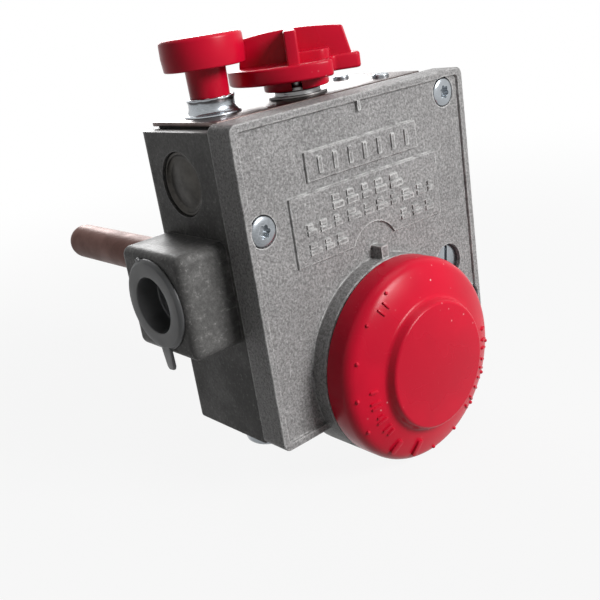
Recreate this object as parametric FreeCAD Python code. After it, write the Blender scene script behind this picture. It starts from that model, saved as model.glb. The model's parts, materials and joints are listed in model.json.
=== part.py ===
"""Water-heater gas control valve: rod-and-tube thermostat, gas cock, flame-safety magnet and regulator.

Millimetres, +Z up, front (the dial) towards -Y, and the probe towards +Y. The origin is on the probe's axis,
in the rear face of the casting, where the tank thread begins. Every sub-part is written to parts/NODE.step.
"""
import FreeCAD, Part
import math
import os

V = FreeCAD.Vector

# ---- castings -------------------------------------------------------------------------------------------
casting_width = 95.25        # front cover, left to right
casting_height = 97.0        # front cover, bottom to top
casting_drop = 29.5          # bottom of the castings below the probe's axis
body_depth = 36.5            # rear face to the joint with the cover gasket
gasket_thickness = 0.5
cover_depth = 10.0           # joint face to the rim of the cover
body_inset = 0.6             # the body's sides lie this far inside the cover's
body_rear_radius = 3.5
cover_corner_radius = 2.5
cover_rim_width = 2.3
cover_rim_height = 1.0       # rim above the sunk front face
cover_wall = 4.0             # front wall behind the sunk face
rib_thickness = 3.0          # webs on the back of the cover
plate_gasket_thickness = 0.7
plate_thickness = 1.2
plate_margin = 4.9           # top plate's edge inside the casting's sides

# ---- clearances -----------------------------------------------------------------------------------------
thread_gap = 0.05            # radial, pieces screwed or pressed together
shaft_gap = 0.07             # radial, turning shafts
slide_gap = 0.2              # radial, sliding rods
face_gap = 0.3               # between moving faces at rest

# ---- temperature dial and its screw ---------------------------------------------------------------------
dial_drop = 15.0             # dial axis below the probe's axis
dial_radius = 32.4
dial_skirt = 8.6             # length of the straight rim
dial_cone = 4.3              # rise of the sloping face
dial_button_radius = 19.75
dial_button_height = 3.15
dial_wall = 2.4
dial_hub_radius = 7.0
dial_gap = 0.6               # dial's rear edge to the collar
collar_inset = 0.1
collar_height = 5.4          # above the sunk face
collar_wall = 2.8
collar_hub_radius = 12.0
spindle_radius = 4.0
screw_radius = 3.0           # threaded nose of the spindle
bushing_radius = 6.0
dial_stop_radius = 25.0      # where the stop pin stands
stop_pin_radius = 1.5

# ---- gas cock and knob ----------------------------------------------------------------------------------
bore_offset = 16.0           # vertical bores lie this far in front of the rear face
cock_offset = 20.4           # the gas cock lies a little further forward
bore_radius = 4.0            # main gas passages
cock_top_radius = 10.5
cock_bottom_radius = 8.0
cock_depth = 29.5            # bore below the body's top
cock_mouth = 2.2             # straight mouth above the taper
plug_drop = 7.5              # top of the plug below the body's top
plug_port_radius = 3.6
port_drop = 10.0             # the plug's port below its top
knob_turn = 120.0            # degrees from off to on
stem_radius = 3.5
stem_bushing_radius = 7.3
stem_bushing_height = 3.4    # above the plate
knob_angle = -40.0           # how the knob stands at rest, degrees
knob_radius = 20.8
knob_thickness = 4.8
knob_hub_radius = 10.3
knob_hub_height = 3.3
knob_slot = 3.2              # split in the front of the hub
knob_lift = 2.4              # underside of the hub above the plate
grip_height = 9.7            # grip above the disc
grip_fall = 1.3              # fall of the crowned top at its ends
grip_thickness = 3.6
grip_tail = 17.2             # grip's foot at the left, from the axis
grip_nose = 18.5             # and at the right
grip_slant = 2.0             # its top is shorter than its foot at each end
step_x = 11.3                # the disc is cut away right of this
step_y = 2.6                 # and in front of this
rib_width = 3.7
rib_reach = 18.8             # cross rib in front of the axis
ledge_height = 2.7
ledge_reach = 6.0
stem_flat = 1.1              # depth of the flat on the stem
stem_sink = 1.2              # top of the stem below the disc's top

# ---- reset button and flame safety ----------------------------------------------------------------------
safety_inset = 17.6          # safety axis from the casting's left side
button_radius = 12.4
button_height = 9.1
button_lift = 13.6           # underside of the cap above the plate
button_stem_radius = 5.9
ferrule_radius = 7.4
ferrule_base_radius = 8.6
ferrule_height = 5.3
button_travel = 2.8           # then the cap meets the knob's disc
button_pocket_depth = 7.5     # for the spring, below the body's top
plunger_radius = 2.4
safety_bore_radius = 9.0
seal_depth = 12.0            # plunger's seal below the body's top
safety_seat_z = 34.0         # underside of the seat
safety_seat_thickness = 4.0
safety_seat_radius = 6.5
safety_disc_radius = 8.2
magnet_well_radius = 5.6
armature_radius = 5.0
armature_top_z = 14.0
armature_thickness = 3.0
magnet_length = 14.7
nut_flats = 20.0
nut_height = 7.0
nut_collar_radius = 8.4
nut_collar_height = 4.0
thermocouple_radius = 4.2

# ---- gas inlet ------------------------------------------------------------------------------------------
inlet_boss_size = 31.5
inlet_boss_fillet = 2.8
inlet_boss_reach = 16.1
inlet_y = -19.2
inlet_z = 19.0
inlet_thread_radius = 9.35
inlet_mouth_radius = 10.7
inlet_mouth_depth = 7.5
inlet_passage_radius = 7.0
plug_flange_radius = 13.9
plug_flange_thickness = 1.4
plug_wall = 1.3
tab_width = 5.0
tab_length = 6.4
tab_angle = 7.0              # turned towards the front
nib_angle = 20.0
cup_plug_radius = 9.75
cup_plug_z = 50.2
cup_plug_y = -18.2
cup_plug_depth = 3.8
cup_plug_sink = 1.2          # its rim below the body's side
cup_plug_dome = 1.3

# ---- thermostat -----------------------------------------------------------------------------------------
shank_radius = 13.3
shank_length = 24.0
shank_chamfer = 1.5
shank_root_radius = 12.4
shank_root_depth = 8.0
tube_radius = 8.0
tube_wall = 1.0
tube_reach = 163.0
rod_radius = 2.4
cavity_half_width = 10.0
cavity_rear_y = -24.0
cavity_top_z = 29.5
cavity_bottom_z = -26.0
lever_back_y = -30.8
lever_thickness = 1.6
lever_half_width = 6.0
pivot_y = -33.6
pivot_radius = 1.5
main_valve_z = 18.0
main_seat_radius = 5.0
main_disc_radius = 7.5
valve_stem_radius = 1.5

# ---- regulator ------------------------------------------------------------------------------------------
regulator_inset = 14.2       # regulator axis from the casting's right side
regulator_z = 4.85
regulator_cap_radius = 6.2
regulator_bore_radius = 11.3
regulator_throat_radius = 9.3
regulator_ledge_y = -30.0
regulator_web_y = -20.0
regulator_web_thickness = 3.0
regulator_valve_radius = 5.0

# ---- outlets --------------------------------------------------------------------------------------------
burner_inset = 18.5          # burner outlet axis from the casting's right side
burner_bore_radius = 9.35
burner_flats = 27.0
burner_root_radius = 12.0
burner_root_depth = 9.0
burner_way_radius = 3.9
burner_height = 12.5
pilot_x = -8.0
pilot_bore_radius = 2.0
pilot_adjuster_radius = 2.5
pilot_adjuster_drop = 8.0    # below the cock's bore
pilot_flats = 13.0
pilot_height = 10.0
pilot_well_radius = 3.6
pilot_well_depth = 15.0
pilot_root_depth = 6.5
pilot_thread_radius = 4.4
pilot_root_radius = 5.5
tap_z = 20.0
tap_radius = 5.0
tap_depth = 7.0
hump_depth = 14.0            # rear swelling over the regulator's vent passage
hump_bottom_z = 31.0
hump_left_x = 14.0

# ---- fasteners ------------------------------------------------------------------------------------------
screw_head_radius = 4.5
screw_shank_radius = 2.4
cover_screw_depth = 13.0
plate_screw_radius = 1.5
plate_head_radius = 2.8
plate_head_height = 1.3
screw_head_height = 1.7
star_radius = 2.1

# ---- worked out from the above --------------------------------------------------------------------------
half_width = casting_width / 2
top_z = casting_height - casting_drop
bottom_z = -casting_drop
collar_radius = dial_radius - collar_inset
joint_y = -body_depth
cover_back_y = joint_y - gasket_thickness
rim_y = cover_back_y - cover_depth
face_y = rim_y + cover_rim_height
pocket_y = face_y + cover_wall
body_half = half_width - body_inset
plate_top_z = top_z - 0.1
plate_bottom_z = plate_top_z - plate_thickness
body_top_z = plate_bottom_z - plate_gasket_thickness
dial_z = -dial_drop
collar_y = face_y - collar_height
dial_rear_y = collar_y - dial_gap
dial_shoulder_y = dial_rear_y - dial_skirt
dial_step_y = dial_shoulder_y - dial_cone
dial_front_y = dial_step_y - dial_button_height
safety_x = -half_width + safety_inset
regulator_x = half_width - regulator_inset
burner_x = half_width - burner_inset
axis_y = -bore_offset
cock_y = -cock_offset
boss_left_x = -half_width - inlet_boss_reach
seat_top_z = safety_seat_z + safety_seat_thickness
cock_bottom_z = body_top_z - cock_depth
plug_top_z = body_top_z - plug_drop
port_z = plug_top_z - port_drop
stem_top_z = plate_top_z + knob_lift + knob_hub_height + knob_thickness - stem_sink
magnet_top_z = armature_top_z - armature_thickness - button_travel - face_gap
carriage_front_y = pocket_y + 0.9
lever_front_y = lever_back_y - lever_thickness


def cyl(axis, at, radius, start, end):
    """A cylinder along one axis ('x', 'y' or 'z') from start to end; at is its place on the other two."""
    low, length = min(start, end), abs(end - start)
    base = {"x": V(low, at[0], at[1]), "y": V(at[0], low, at[1]), "z": V(at[0], at[1], low)}[axis]
    way = {"x": V(1, 0, 0), "y": V(0, 1, 0), "z": V(0, 0, 1)}[axis]
    return Part.makeCylinder(radius, length, base, way)


def cone(axis, at, start_radius, end_radius, start, end):
    """A cone along one axis, with start_radius at start and end_radius at end."""
    if end < start:
        start, end, start_radius, end_radius = end, start, end_radius, start_radius
    base = {"x": V(start, at[0], at[1]), "y": V(at[0], start, at[1]), "z": V(at[0], at[1], start)}[axis]
    way = {"x": V(1, 0, 0), "y": V(0, 1, 0), "z": V(0, 0, 1)}[axis]
    return Part.makeCone(start_radius, end_radius, end - start, base, way)


def box(x0, x1, y0, y1, z0, z1):
    return Part.makeBox(x1 - x0, y1 - y0, z1 - z0, V(x0, y0, z0))


def ring(axis, at, outer, inner, start, end):
    low, high = min(start, end), max(start, end)
    return cyl(axis, at, outer, low, high).cut(cyl(axis, at, inner, low - 1, high + 1))


def hexagon(at, flats, z0, z1):
    """A hexagonal bar along Z, with its flats that far apart and its corners broken."""
    reach = flats / math.sqrt(3)
    angles = [math.radians(60 * i) for i in range(7)]
    wire = Part.makePolygon([V(at[0] + reach * math.cos(a), at[1] + reach * math.sin(a), z0) for a in angles])
    bar = Part.Face(wire).extrude(V(0, 0, z1 - z0))
    chamfer = reach - flats / 2
    lower = cone("z", at, flats / 2, reach + 0.01, z0, z0 + chamfer / 2)
    return bar.common(lower.fuse(cyl("z", at, reach + 0.01, z0 + chamfer / 2, z1)))


def star_socket(at, radius, y0, y1):
    """A six-lobed recess along Y."""
    tool = cyl("y", at, radius * 0.72, y0, y1)
    for i in range(6):
        angle = math.radians(60 * i)
        lobe = (at[0] + radius * 0.72 * math.cos(angle), at[1] + radius * 0.72 * math.sin(angle))
        tool = tool.fuse(cyl("y", lobe, radius * 0.28, y0, y1))
    return tool


def spring(axis, at, radius, wire, start, end, turns):
    """A helical spring along Y or Z whose wire keeps between start and end."""
    length = abs(end - start) - 2 * wire
    helix = Part.makeHelix(length / turns, length, radius)
    profile = Part.Wire([Part.makeCircle(wire, V(radius, 0, 0), V(0, 1, 0))])
    coil = Part.Wire(helix.Edges).makePipeShell([profile], True, True)
    if axis == "y":
        coil.rotate(V(0, 0, 0), V(1, 0, 0), -90)
        coil.translate(V(at[0], min(start, end) + wire, at[1]))
    else:
        coil.translate(V(at[0], at[1], min(start, end) + wire))
    return coil


def edges_where(shape, test):
    return [e for e in shape.Edges if test(e)]


def along(edge, axis):
    """Whether a straight edge runs along X, Y or Z."""
    if edge.Curve.TypeId != "Part::GeomLine":
        return False
    way = edge.Vertexes[1].Point.sub(edge.Vertexes[0].Point).normalize()
    return abs(getattr(way, axis)) > 0.999


# ---- castings -------------------------------------------------------------------------------------------

def valve_body():
    """The main casting, with its gas passages and its seats."""
    block = box(-body_half, body_half, joint_y, 0, bottom_z, body_top_z)
    hump = box(hump_left_x, body_half, -1, hump_depth, hump_bottom_z, body_top_z)
    hump = hump.makeFillet(body_rear_radius, edges_where(hump, lambda e: e.BoundBox.YMin > hump_depth - 0.01))
    rear = edges_where(block, lambda e: e.BoundBox.YMin > -0.01 and e.CenterOfMass.x < 0)
    low_rear = edges_where(block, lambda e: e.BoundBox.YMin > -0.01 and e.CenterOfMass.z < bottom_z + 1)
    block = block.makeFillet(body_rear_radius, rear + [e for e in low_rear if e.CenterOfMass.x >= 0])
    body = block.fuse(hump).removeSplitter()
    return body.cut(passages()).removeSplitter()


def inlet_boss():
    """The square boss on the casting's left side, bored for the supply pipe."""
    half = inlet_boss_size / 2
    boss = box(boss_left_x, -body_half, inlet_y - half, inlet_y + half, inlet_z - half, inlet_z + half)
    boss = boss.makeFillet(inlet_boss_fillet, edges_where(boss, lambda e: along(e, "x")
                                                          or e.BoundBox.XMax < boss_left_x + 0.01))
    mouth = cyl("x", (inlet_y, inlet_z), inlet_mouth_radius, boss_left_x - 1, boss_left_x + inlet_mouth_depth)
    thread = cyl("x", (inlet_y, inlet_z), inlet_thread_radius, boss_left_x, -body_half + 1)
    return boss.cut(mouth.fuse(thread))


def passages():
    """Everything that is bored or cored out of the body."""
    cuts = gas_ways() + thermostat_bores() + regulator_bores()
    cup_plug = (cup_plug_y, cup_plug_z)
    cuts.append(cyl("x", cup_plug, cup_plug_radius, -body_half - 1, -body_half + cup_plug_depth))
    screw_hole = screw_shank_radius + thread_gap
    cuts += [cyl("y", p, screw_hole, joint_y - 1, joint_y + cover_screw_depth) for p in cover_screw_places()]
    plate_hole = plate_screw_radius + thread_gap
    cuts += [cyl("z", p, plate_hole, body_top_z - 6, body_top_z + 1) for p in plate_screw_places()]
    tool = cuts[0].fuse(cuts[1:])
    main_valve = (0, main_valve_z)
    lip = ring("y", main_valve, main_seat_radius + 1.5, main_seat_radius, cavity_rear_y - 1, cavity_rear_y)
    return tool.cut(lip)


def gas_ways():
    """The gas's way from the inlet by the safety valve and the cock to the burner and the pilot."""
    cock, safety = (0, cock_y), (safety_x, axis_y)
    burner, pilot = (burner_x, axis_y), (pilot_x, axis_y)
    adjuster = (pilot_x, cock_bottom_z - pilot_adjuster_drop)
    stem_hole = button_stem_radius + 2 * face_gap
    return [
        cyl("x", (inlet_y, inlet_z), inlet_passage_radius, -body_half - 1, safety_x),
        cyl("z", safety, safety_bore_radius, bottom_z - 1, safety_seat_z),
        cyl("z", safety, safety_seat_radius, safety_seat_z - 1, seat_top_z + 1),
        cyl("z", safety, safety_bore_radius, seat_top_z, body_top_z - seal_depth),
        cyl("z", safety, plunger_radius + slide_gap, body_top_z - seal_depth - 1, body_top_z),
        cyl("z", safety, stem_hole, body_top_z - button_pocket_depth, body_top_z + 1),
        cone("z", cock, cock_bottom_radius, cock_top_radius, cock_bottom_z, body_top_z - cock_mouth),
        cyl("z", cock, cock_top_radius, body_top_z - cock_mouth - 0.01, body_top_z + 1),
        cyl("x", (cock_y, port_z), bore_radius, safety_x, 0),
        cyl("z", (0, axis_y), bore_radius, main_valve_z, cock_bottom_z + 1),
        cyl("z", burner, burner_way_radius, bottom_z, regulator_z),
        cyl("z", burner, burner_root_radius + thread_gap, bottom_z - 1, bottom_z + burner_root_depth),
        cyl("z", pilot, pilot_bore_radius, bottom_z, cock_bottom_z + 2),
        cyl("z", pilot, pilot_root_radius + thread_gap, bottom_z - 1, bottom_z + pilot_root_depth + 0.5),
        cyl("z", pilot, pilot_well_radius, bottom_z, bottom_z + pilot_well_depth),
        cyl("y", adjuster, pilot_adjuster_radius, axis_y + 1, 1),
    ]


def thermostat_bores():
    """The cavity for the lever, the main valve's seat, and the bores for the rod and the shank."""
    half = cavity_half_width
    return [
        cyl("y", (0, main_valve_z), main_seat_radius, cavity_rear_y - 2, axis_y),
        box(-half, half, joint_y - 1, cavity_rear_y, cavity_bottom_z, cavity_top_z),
        cyl("y", (0, 0), rod_radius + slide_gap, cavity_rear_y - 1, 1),
        cyl("y", (0, 0), shank_root_radius + thread_gap, -shank_root_depth - 1, 1),
    ]


def regulator_bores():
    """The regulator's stepped bore, its web, and the ways to it from the cavity and to the pressure tap."""
    at, tap = (regulator_x, regulator_z), (axis_y, tap_z)
    web_front_y = regulator_web_y + regulator_web_thickness
    return [
        cyl("y", at, regulator_bore_radius, joint_y - 1, regulator_ledge_y),
        cyl("y", at, regulator_throat_radius, regulator_ledge_y - 1, regulator_web_y),
        cyl("y", at, 3.0, regulator_web_y - 1, web_front_y + 1),
        cyl("y", at, regulator_valve_radius, web_front_y, -6),
        cyl("x", (cavity_rear_y - 3.5, regulator_z), 3.0, 0, regulator_x),
        cyl("x", tap, tap_radius, body_half - tap_depth, body_half + 1),
        cyl("x", tap, 2.0, body_half - tap_depth - 3.5, body_half),
        cyl("z", (body_half - tap_depth - 2, axis_y), 1.5, regulator_z, tap_z),
    ]


def cover_screw_places():
    """(x, z) of the four cover screws: two in sight, one low on the right and one under the dial."""
    return [
        (-half_width + 6.2, top_z - 30.3),
        (half_width - 9.0, top_z - 6.7),
        (half_width - 6.1, bottom_z + 19.0),
        (-21.0, dial_z),
    ]


def plate_screw_places():
    """(x, y) of the two screws that hold the top plate."""
    x = half_width - plate_margin - 12
    return [(x, axis_y + 8), (x, axis_y - 11)]


def cover_blank():
    """The cover's outside: plate with a sunk face and a rim, and the dial's collar."""
    plate = box(-half_width, half_width, rim_y, cover_back_y, bottom_z, top_z)
    plate = plate.makeFillet(cover_corner_radius, edges_where(plate, lambda e: along(e, "y")))
    in_x, in_z0, in_z1 = half_width - cover_rim_width, bottom_z + cover_rim_width, top_z - cover_rim_width
    sunk = box(-in_x, in_x, rim_y - 1, face_y, in_z0, in_z1)
    sunk = sunk.makeFillet(1.2, edges_where(sunk, lambda e: along(e, "y")))
    plate = plate.cut(sunk)
    front = edges_where(plate, lambda e: e.BoundBox.YMax < rim_y + 0.01)
    plate = plate.makeFillet(0.4, front)
    collar = cyl("y", (0, dial_z), collar_radius, collar_y, cover_back_y)
    collar = collar.makeFillet(0.5, edges_where(collar, lambda e: e.BoundBox.YMax < collar_y + 0.01))
    return plate.fuse(collar)


def label_pads():
    """Two raised pads with plain raised bars, the index rib and the knob's index mark."""
    pad_y = face_y - 0.8
    upper = box(-23.4, 23.4, pad_y, face_y + 0.5, top_z - 21.1, top_z - 12.5)
    lower = box(-31.4, 31.4, pad_y, face_y + 0.5, top_z - 44.7, top_z - 24.0)
    upper, lower = [p.makeFillet(0.3, edges_where(p, lambda e: e.BoundBox.YMax < pad_y + 0.01))
                    for p in (upper, lower)]
    mark_y = pad_y - 0.5
    upper = upper.fuse([box(x, x + 1.5, mark_y, pad_y + 0.2, top_z - 19.2, top_z - 14.4)
                        for x in [-19 + 6.1 * i for i in range(7)]])
    rows = [
        (top_z - 30.8, 4.2, [(-15.5, 4.2), (-9.6, 4.6), (-3.2, 3.8), (2.4, 4.8), (9.0, 5.4)]),
        (top_z - 35.9, 3.2, [(-26.5, 3.4), (-21.4, 4.0), (-15.6, 2.6), (-10.2, 5.2), (-3.2, 3.6), (2.2, 4.6),
                             (8.6, 3.4), (13.8, 5.0), (20.6, 3.6), (25.8, 2.6)]),
        (top_z - 41.8, 3.2,
         [(-26.5, 4.4), (-20.4, 3.2), (-15.6, 4.0), (12.4, 3.8), (17.8, 4.6), (24.0, 3.6)]),
    ]
    for z, height, bars in rows:
        long_bars = [box(x, x + width, mark_y, pad_y + 0.2, z, z + height * 0.42) for x, width in bars]
        high = z + height * 0.62
        short_bars = [box(x, x + width * 0.62, mark_y, pad_y + 0.2, high, z + height) for x, width in bars]
        lower = lower.fuse(long_bars + short_bars)
    arch = cyl("y", (0, dial_z + collar_radius + 1.2), 10.0, mark_y - 1, face_y)
    rib_z = dial_z + collar_radius - 0.3
    rib = box(-1.4, 1.4, face_y - 4.3, face_y + 0.5, rib_z, rib_z + 4.2)
    rim_z = top_z - cover_rim_width
    mark = box(-0.6, 0.6, rim_y + 0.1, face_y + 0.5, rim_z - 2.8, rim_z + 0.2)
    return [upper, lower.cut(arch), rib, mark]


def cover_pockets():
    """The cored pockets on the back of the cover, with webs between them, and the bores through it."""
    reg = (regulator_x, regulator_z)
    edge = 5.0
    half = cavity_half_width
    middle = box(-half, half, cover_back_y - 5, cover_back_y + 1, cavity_bottom_z, cavity_top_z)
    cuts = [cyl("y", reg, regulator_cap_radius, rim_y - 1, cover_back_y + 1),
            cyl("y", (0, dial_z), bushing_radius + thread_gap, rim_y - 12, cover_back_y + 1)]
    floor = pocket_y
    outer, inner = half_width - edge, half + 2.5
    columns = [(-outer, 15 - outer), (18 - outer, -inner), (inner, outer - 18), (outer - 15, outer)]
    keep = [cyl("y", p, 5.2, rim_y, cover_back_y) for p in cover_screw_places()]
    keep.append(cyl("y", reg, regulator_bore_radius + 1.5, rim_y, cover_back_y))
    rows = int((casting_height - 2 * edge) // (18 + rib_thickness)) + 1
    pitch = (casting_height - 2 * edge + rib_thickness) / rows
    for x0, x1 in columns:
        for row in range(rows):
            z0 = bottom_z + edge + row * pitch
            pocket = box(x0, x1, floor, cover_back_y + 1, z0, z0 + pitch - rib_thickness)
            cuts.append(pocket.cut(keep[0].fuse(keep[1:])))
    z0 = cavity_top_z + rib_thickness
    cuts.append(box(-half, half, floor, cover_back_y + 1, z0, top_z - edge))
    dish_radius = collar_radius - collar_wall
    cuts.append(ring("y", (0, dial_z), dish_radius, collar_hub_radius, collar_y - 1, face_y - 0.2))
    for x, z in cover_screw_places():
        cuts.append(cyl("y", (x, z), screw_shank_radius + 0.2, rim_y - 8, cover_back_y + 1))
        cuts.append(cyl("y", (x, z), screw_head_radius + 0.25, rim_y - 8, face_y + 1.0))
    pin = (0, dial_z - dial_stop_radius)
    cuts.append(cyl("y", pin, stop_pin_radius + thread_gap, collar_y, face_y + 2.5))
    solid = cuts[0].fuse(cuts[1:])
    return solid.fuse(middle)


def front_cover():
    return cover_blank().fuse(label_pads()).cut(cover_pockets()).removeSplitter()


def cover_gasket():
    y0, y1 = cover_back_y, joint_y
    half = cavity_half_width
    sheet = box(-body_half + 1, body_half - 1, y0, y1, bottom_z + 1, body_top_z - 1)
    holes = [box(-half, half, y0 - 1, y1 + 1, cavity_bottom_z, cavity_top_z),
             cyl("y", (regulator_x, regulator_z), regulator_bore_radius, y0 - 1, y1 + 1)]
    holes += [cyl("y", p, screw_shank_radius + slide_gap, y0 - 1, y1 + 1) for p in cover_screw_places()]
    return sheet.cut(holes[0].fuse(holes[1:]))


def cover_screws():
    """Four pan-head screws with six-lobed sockets."""
    solids = []
    for x, z in cover_screw_places():
        seat = face_y + 1.0
        head = cyl("y", (x, z), screw_head_radius, seat - screw_head_height, seat)
        front = seat - screw_head_height
        head = head.makeFillet(0.5, edges_where(head, lambda e: e.BoundBox.YMax < front + 0.01))
        shank = cyl("y", (x, z), screw_shank_radius, seat, joint_y + 10)
        socket = star_socket((x, z), star_radius, front - 1, seat - 0.2)
        solids.append(head.fuse(shank).cut(socket))
    return solids


# ---- top plate, button and knob -------------------------------------------------------------------------

def plate_outline(margin, z0, z1):
    """The slab shared by the top plate and its gasket, with the holes that both have."""
    front, rear = joint_y + 2.5 + margin, -0.8 - margin
    inset = plate_margin + margin
    slab = box(-half_width + inset, half_width - inset, front, rear, z0, z1)
    slab = slab.makeFillet(1.5, edges_where(slab, lambda e: along(e, "z")))
    holes = [cyl("z", (safety_x, axis_y), button_stem_radius + 2 * face_gap, z0 - 1, z1 + 1),
             cyl("z", (0, cock_y), stem_bushing_radius + thread_gap, z0 - 1, z1 + 1)]
    holes += [cyl("z", p, plate_screw_radius + thread_gap, z0 - 1, z1 + 1) for p in plate_screw_places()]
    return slab.cut(holes[0].fuse(holes[1:]))


def top_plate():
    return plate_outline(0.0, plate_bottom_z, plate_top_z)


def plate_gasket():
    return plate_outline(1.2, body_top_z, plate_bottom_z)


def plate_screws():
    solids = []
    top = plate_top_z + plate_head_height
    for x, y in plate_screw_places():
        head = cyl("z", (x, y), plate_head_radius, plate_top_z, top)
        head = head.makeFillet(0.6, edges_where(head, lambda e: e.BoundBox.ZMin > top - 0.01))
        shank = cyl("z", (x, y), plate_screw_radius, body_top_z - 5, plate_top_z)
        slot = box(x - 3, x + 3, y - 0.4, y + 0.4, top - 0.6, top + 1)
        solids.append(head.fuse(shank).cut(slot))
    return solids


def button_ferrule():
    """The bright collar that guides the button, spread at its foot."""
    at = (safety_x, axis_y)
    foot = cone("z", at, ferrule_base_radius, ferrule_radius, plate_top_z, plate_top_z + 2.2)
    sleeve = cyl("z", at, ferrule_radius, plate_top_z + 2.2, plate_top_z + ferrule_height)
    hole = cyl("z", at, button_stem_radius + face_gap, plate_top_z - 1, plate_top_z + 20)
    shape = foot.fuse(sleeve).cut(hole)
    top = edges_where(shape, lambda e: e.BoundBox.ZMin > plate_top_z + ferrule_height - 0.01)
    return shape.makeFillet(0.4, top)


def pilot_button():
    """The red reset button: a round cap on a thick stem."""
    at = (safety_x, axis_y)
    cap_z = plate_top_z + button_lift
    cap = cyl("z", at, button_radius, cap_z, cap_z + button_height)
    top = cap_z + button_height
    cap = cap.makeFillet(1.3, edges_where(cap, lambda e: e.BoundBox.ZMin > top - 0.01))
    cap = cap.cut(ring("z", at, button_radius - 1.8, button_stem_radius + 1, cap_z - 1, top - 2.5))
    stem = cyl("z", at, button_stem_radius, plate_top_z + 3.0, cap_z + 1)
    core = cyl("z", at, plunger_radius + thread_gap, plate_top_z, cap_z + 4)
    return cap.fuse(stem).cut(core)


def button_plunger():
    """The steel rod that the button drives, down through the seat to the safety disc."""
    at = (safety_x, axis_y)
    return cyl("z", at, plunger_radius, safety_seat_z - 0.1 + face_gap, plate_top_z + button_lift + 4)


def button_spring():
    at = (safety_x, axis_y)
    return spring("z", at, 4.3, 0.45, body_top_z - button_pocket_depth, plate_top_z + 3.0, 6)


def plunger_seal():
    at = (safety_x, axis_y)
    z0 = body_top_z - seal_depth - 1.6
    return ring("z", at, 5.2, plunger_radius + slide_gap, z0, z0 + 1.6)


def stem_bushing():
    at = (0, cock_y)
    flange = cyl("z", at, cock_top_radius - thread_gap, body_top_z - 2, body_top_z)
    neck = cyl("z", at, stem_bushing_radius, body_top_z, plate_top_z + stem_bushing_height)
    shape = flange.fuse(neck).cut(cyl("z", at, stem_radius + slide_gap, body_top_z - 5, plate_top_z + 20))
    return shape.removeSplitter()


def stem_clip():
    """The spring clip that lies on the plate round the bushing."""
    at = (0, cock_y)
    clip = ring("z", at, 9.4, stem_bushing_radius + thread_gap, plate_top_z, plate_top_z + 0.8)
    return clip.cut(box(0, 20, cock_y - 2.5, cock_y + 2.5, plate_top_z - 1, plate_top_z + 2))


def cock_spring():
    return spring("z", (0, cock_y), 7.2, 0.6, plug_top_z + 0.1, body_top_z - 2.1, 2.5)


def cock_stem():
    """The steel stem with its flat, from the plug up into the knob."""
    stem = cyl("z", (0, cock_y), stem_radius, plug_top_z - 4, stem_top_z)
    flat_x = stem_radius - stem_flat
    stem = stem.cut(box(flat_x, stem_radius + 1, cock_y - 5, cock_y + 5, plate_top_z + 1, stem_top_z + 1))
    stem.rotate(V(0, cock_y, 0), V(0, 0, 1), knob_angle)
    return stem


def cock_plug():
    """The tapered brass plug, with a port from the side that turns down."""
    at = (0, cock_y)
    slope = (cock_top_radius - cock_bottom_radius) / (cock_depth - cock_mouth)
    low_z = cock_bottom_z + 0.6
    low_r = cock_bottom_radius + 0.6 * slope - shaft_gap
    high_r = low_r + (plug_top_z - low_z) * slope
    body = cone("z", at, low_r, high_r, low_z, plug_top_z)
    port = cyl("x", (cock_y, port_z), plug_port_radius, -20, 0)
    port.rotate(V(0, cock_y, 0), V(0, 0, 1), -knob_turn)
    cuts = [port, cyl("z", at, plug_port_radius, low_z - 1, port_z),
            cyl("z", at, stem_radius + thread_gap, plug_top_z - 4, plug_top_z + 1)]
    return body.cut(cuts[0].fuse(cuts[1:]))


def gas_knob():
    """The red knob: split hub, a disc cut away beside its tab, and a crowned grip with a cross rib."""
    at = (0, cock_y)
    hub_z = plate_top_z + knob_lift
    disc_z = hub_z + knob_hub_height
    disc_top = disc_z + knob_thickness
    hub = cyl("z", at, knob_hub_radius, hub_z, disc_z + 0.5)
    knob = knob_disc(disc_z, disc_top).fuse([hub, grip(disc_top)] + grip_ribs(disc_top)).removeSplitter()
    half = knob_slot / 2
    slot = box(-half, half, cock_y - knob_hub_radius - 1, cock_y, hub_z - 1, disc_z)
    sleeve = cyl("z", at, stem_bushing_radius + face_gap, hub_z - 1, plate_top_z + stem_bushing_height + 0.5)
    bore = cyl("z", at, stem_radius + thread_gap, hub_z - 1, stem_top_z + face_gap)
    flat_x = stem_radius - stem_flat + thread_gap
    flat = box(flat_x, stem_radius + 1, cock_y - 5, cock_y + 5, disc_z, disc_top)
    knob = knob.cut(slot.fuse([sleeve, bore.cut(flat)])).removeSplitter()
    knob.rotate(V(0, cock_y, 0), V(0, 0, 1), knob_angle)
    return knob


def knob_disc(disc_z, disc_top):
    """The knob's disc, stepped back in front of its tab."""
    disc = cyl("z", (0, cock_y), knob_radius, disc_z, disc_top)
    reach = knob_radius + 1
    disc = disc.cut(box(step_x, reach, cock_y - reach, cock_y - step_y, disc_z - 1, disc_top + 1))
    disc = disc.makeFillet(1.0, edges_where(disc, lambda e: along(e, "z") and e.CenterOfMass.y < cock_y - 1
                                            and e.CenterOfMass.x > step_x - 1))
    return disc.makeFillet(0.5, edges_where(disc, lambda e: e.BoundBox.ZMin > disc_top - 0.01))


def grip(disc_top):
    """The upright grip, slanted at both ends, with a crowned top."""
    y0 = cock_y - grip_thickness / 2
    low, end_z = disc_top - 0.9, disc_top + grip_height - grip_fall
    tail, nose = V(grip_slant - grip_tail, y0, end_z), V(grip_nose - grip_slant, y0, end_z)
    crown = Part.Arc(tail, V(0, y0, disc_top + grip_height), nose).toShape()
    ends = Part.makePolygon([nose, V(grip_nose, y0, low), V(-grip_tail, y0, low), tail])
    return Part.Face(Part.Wire([crown] + ends.Edges)).extrude(V(0, grip_thickness, 0))


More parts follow.
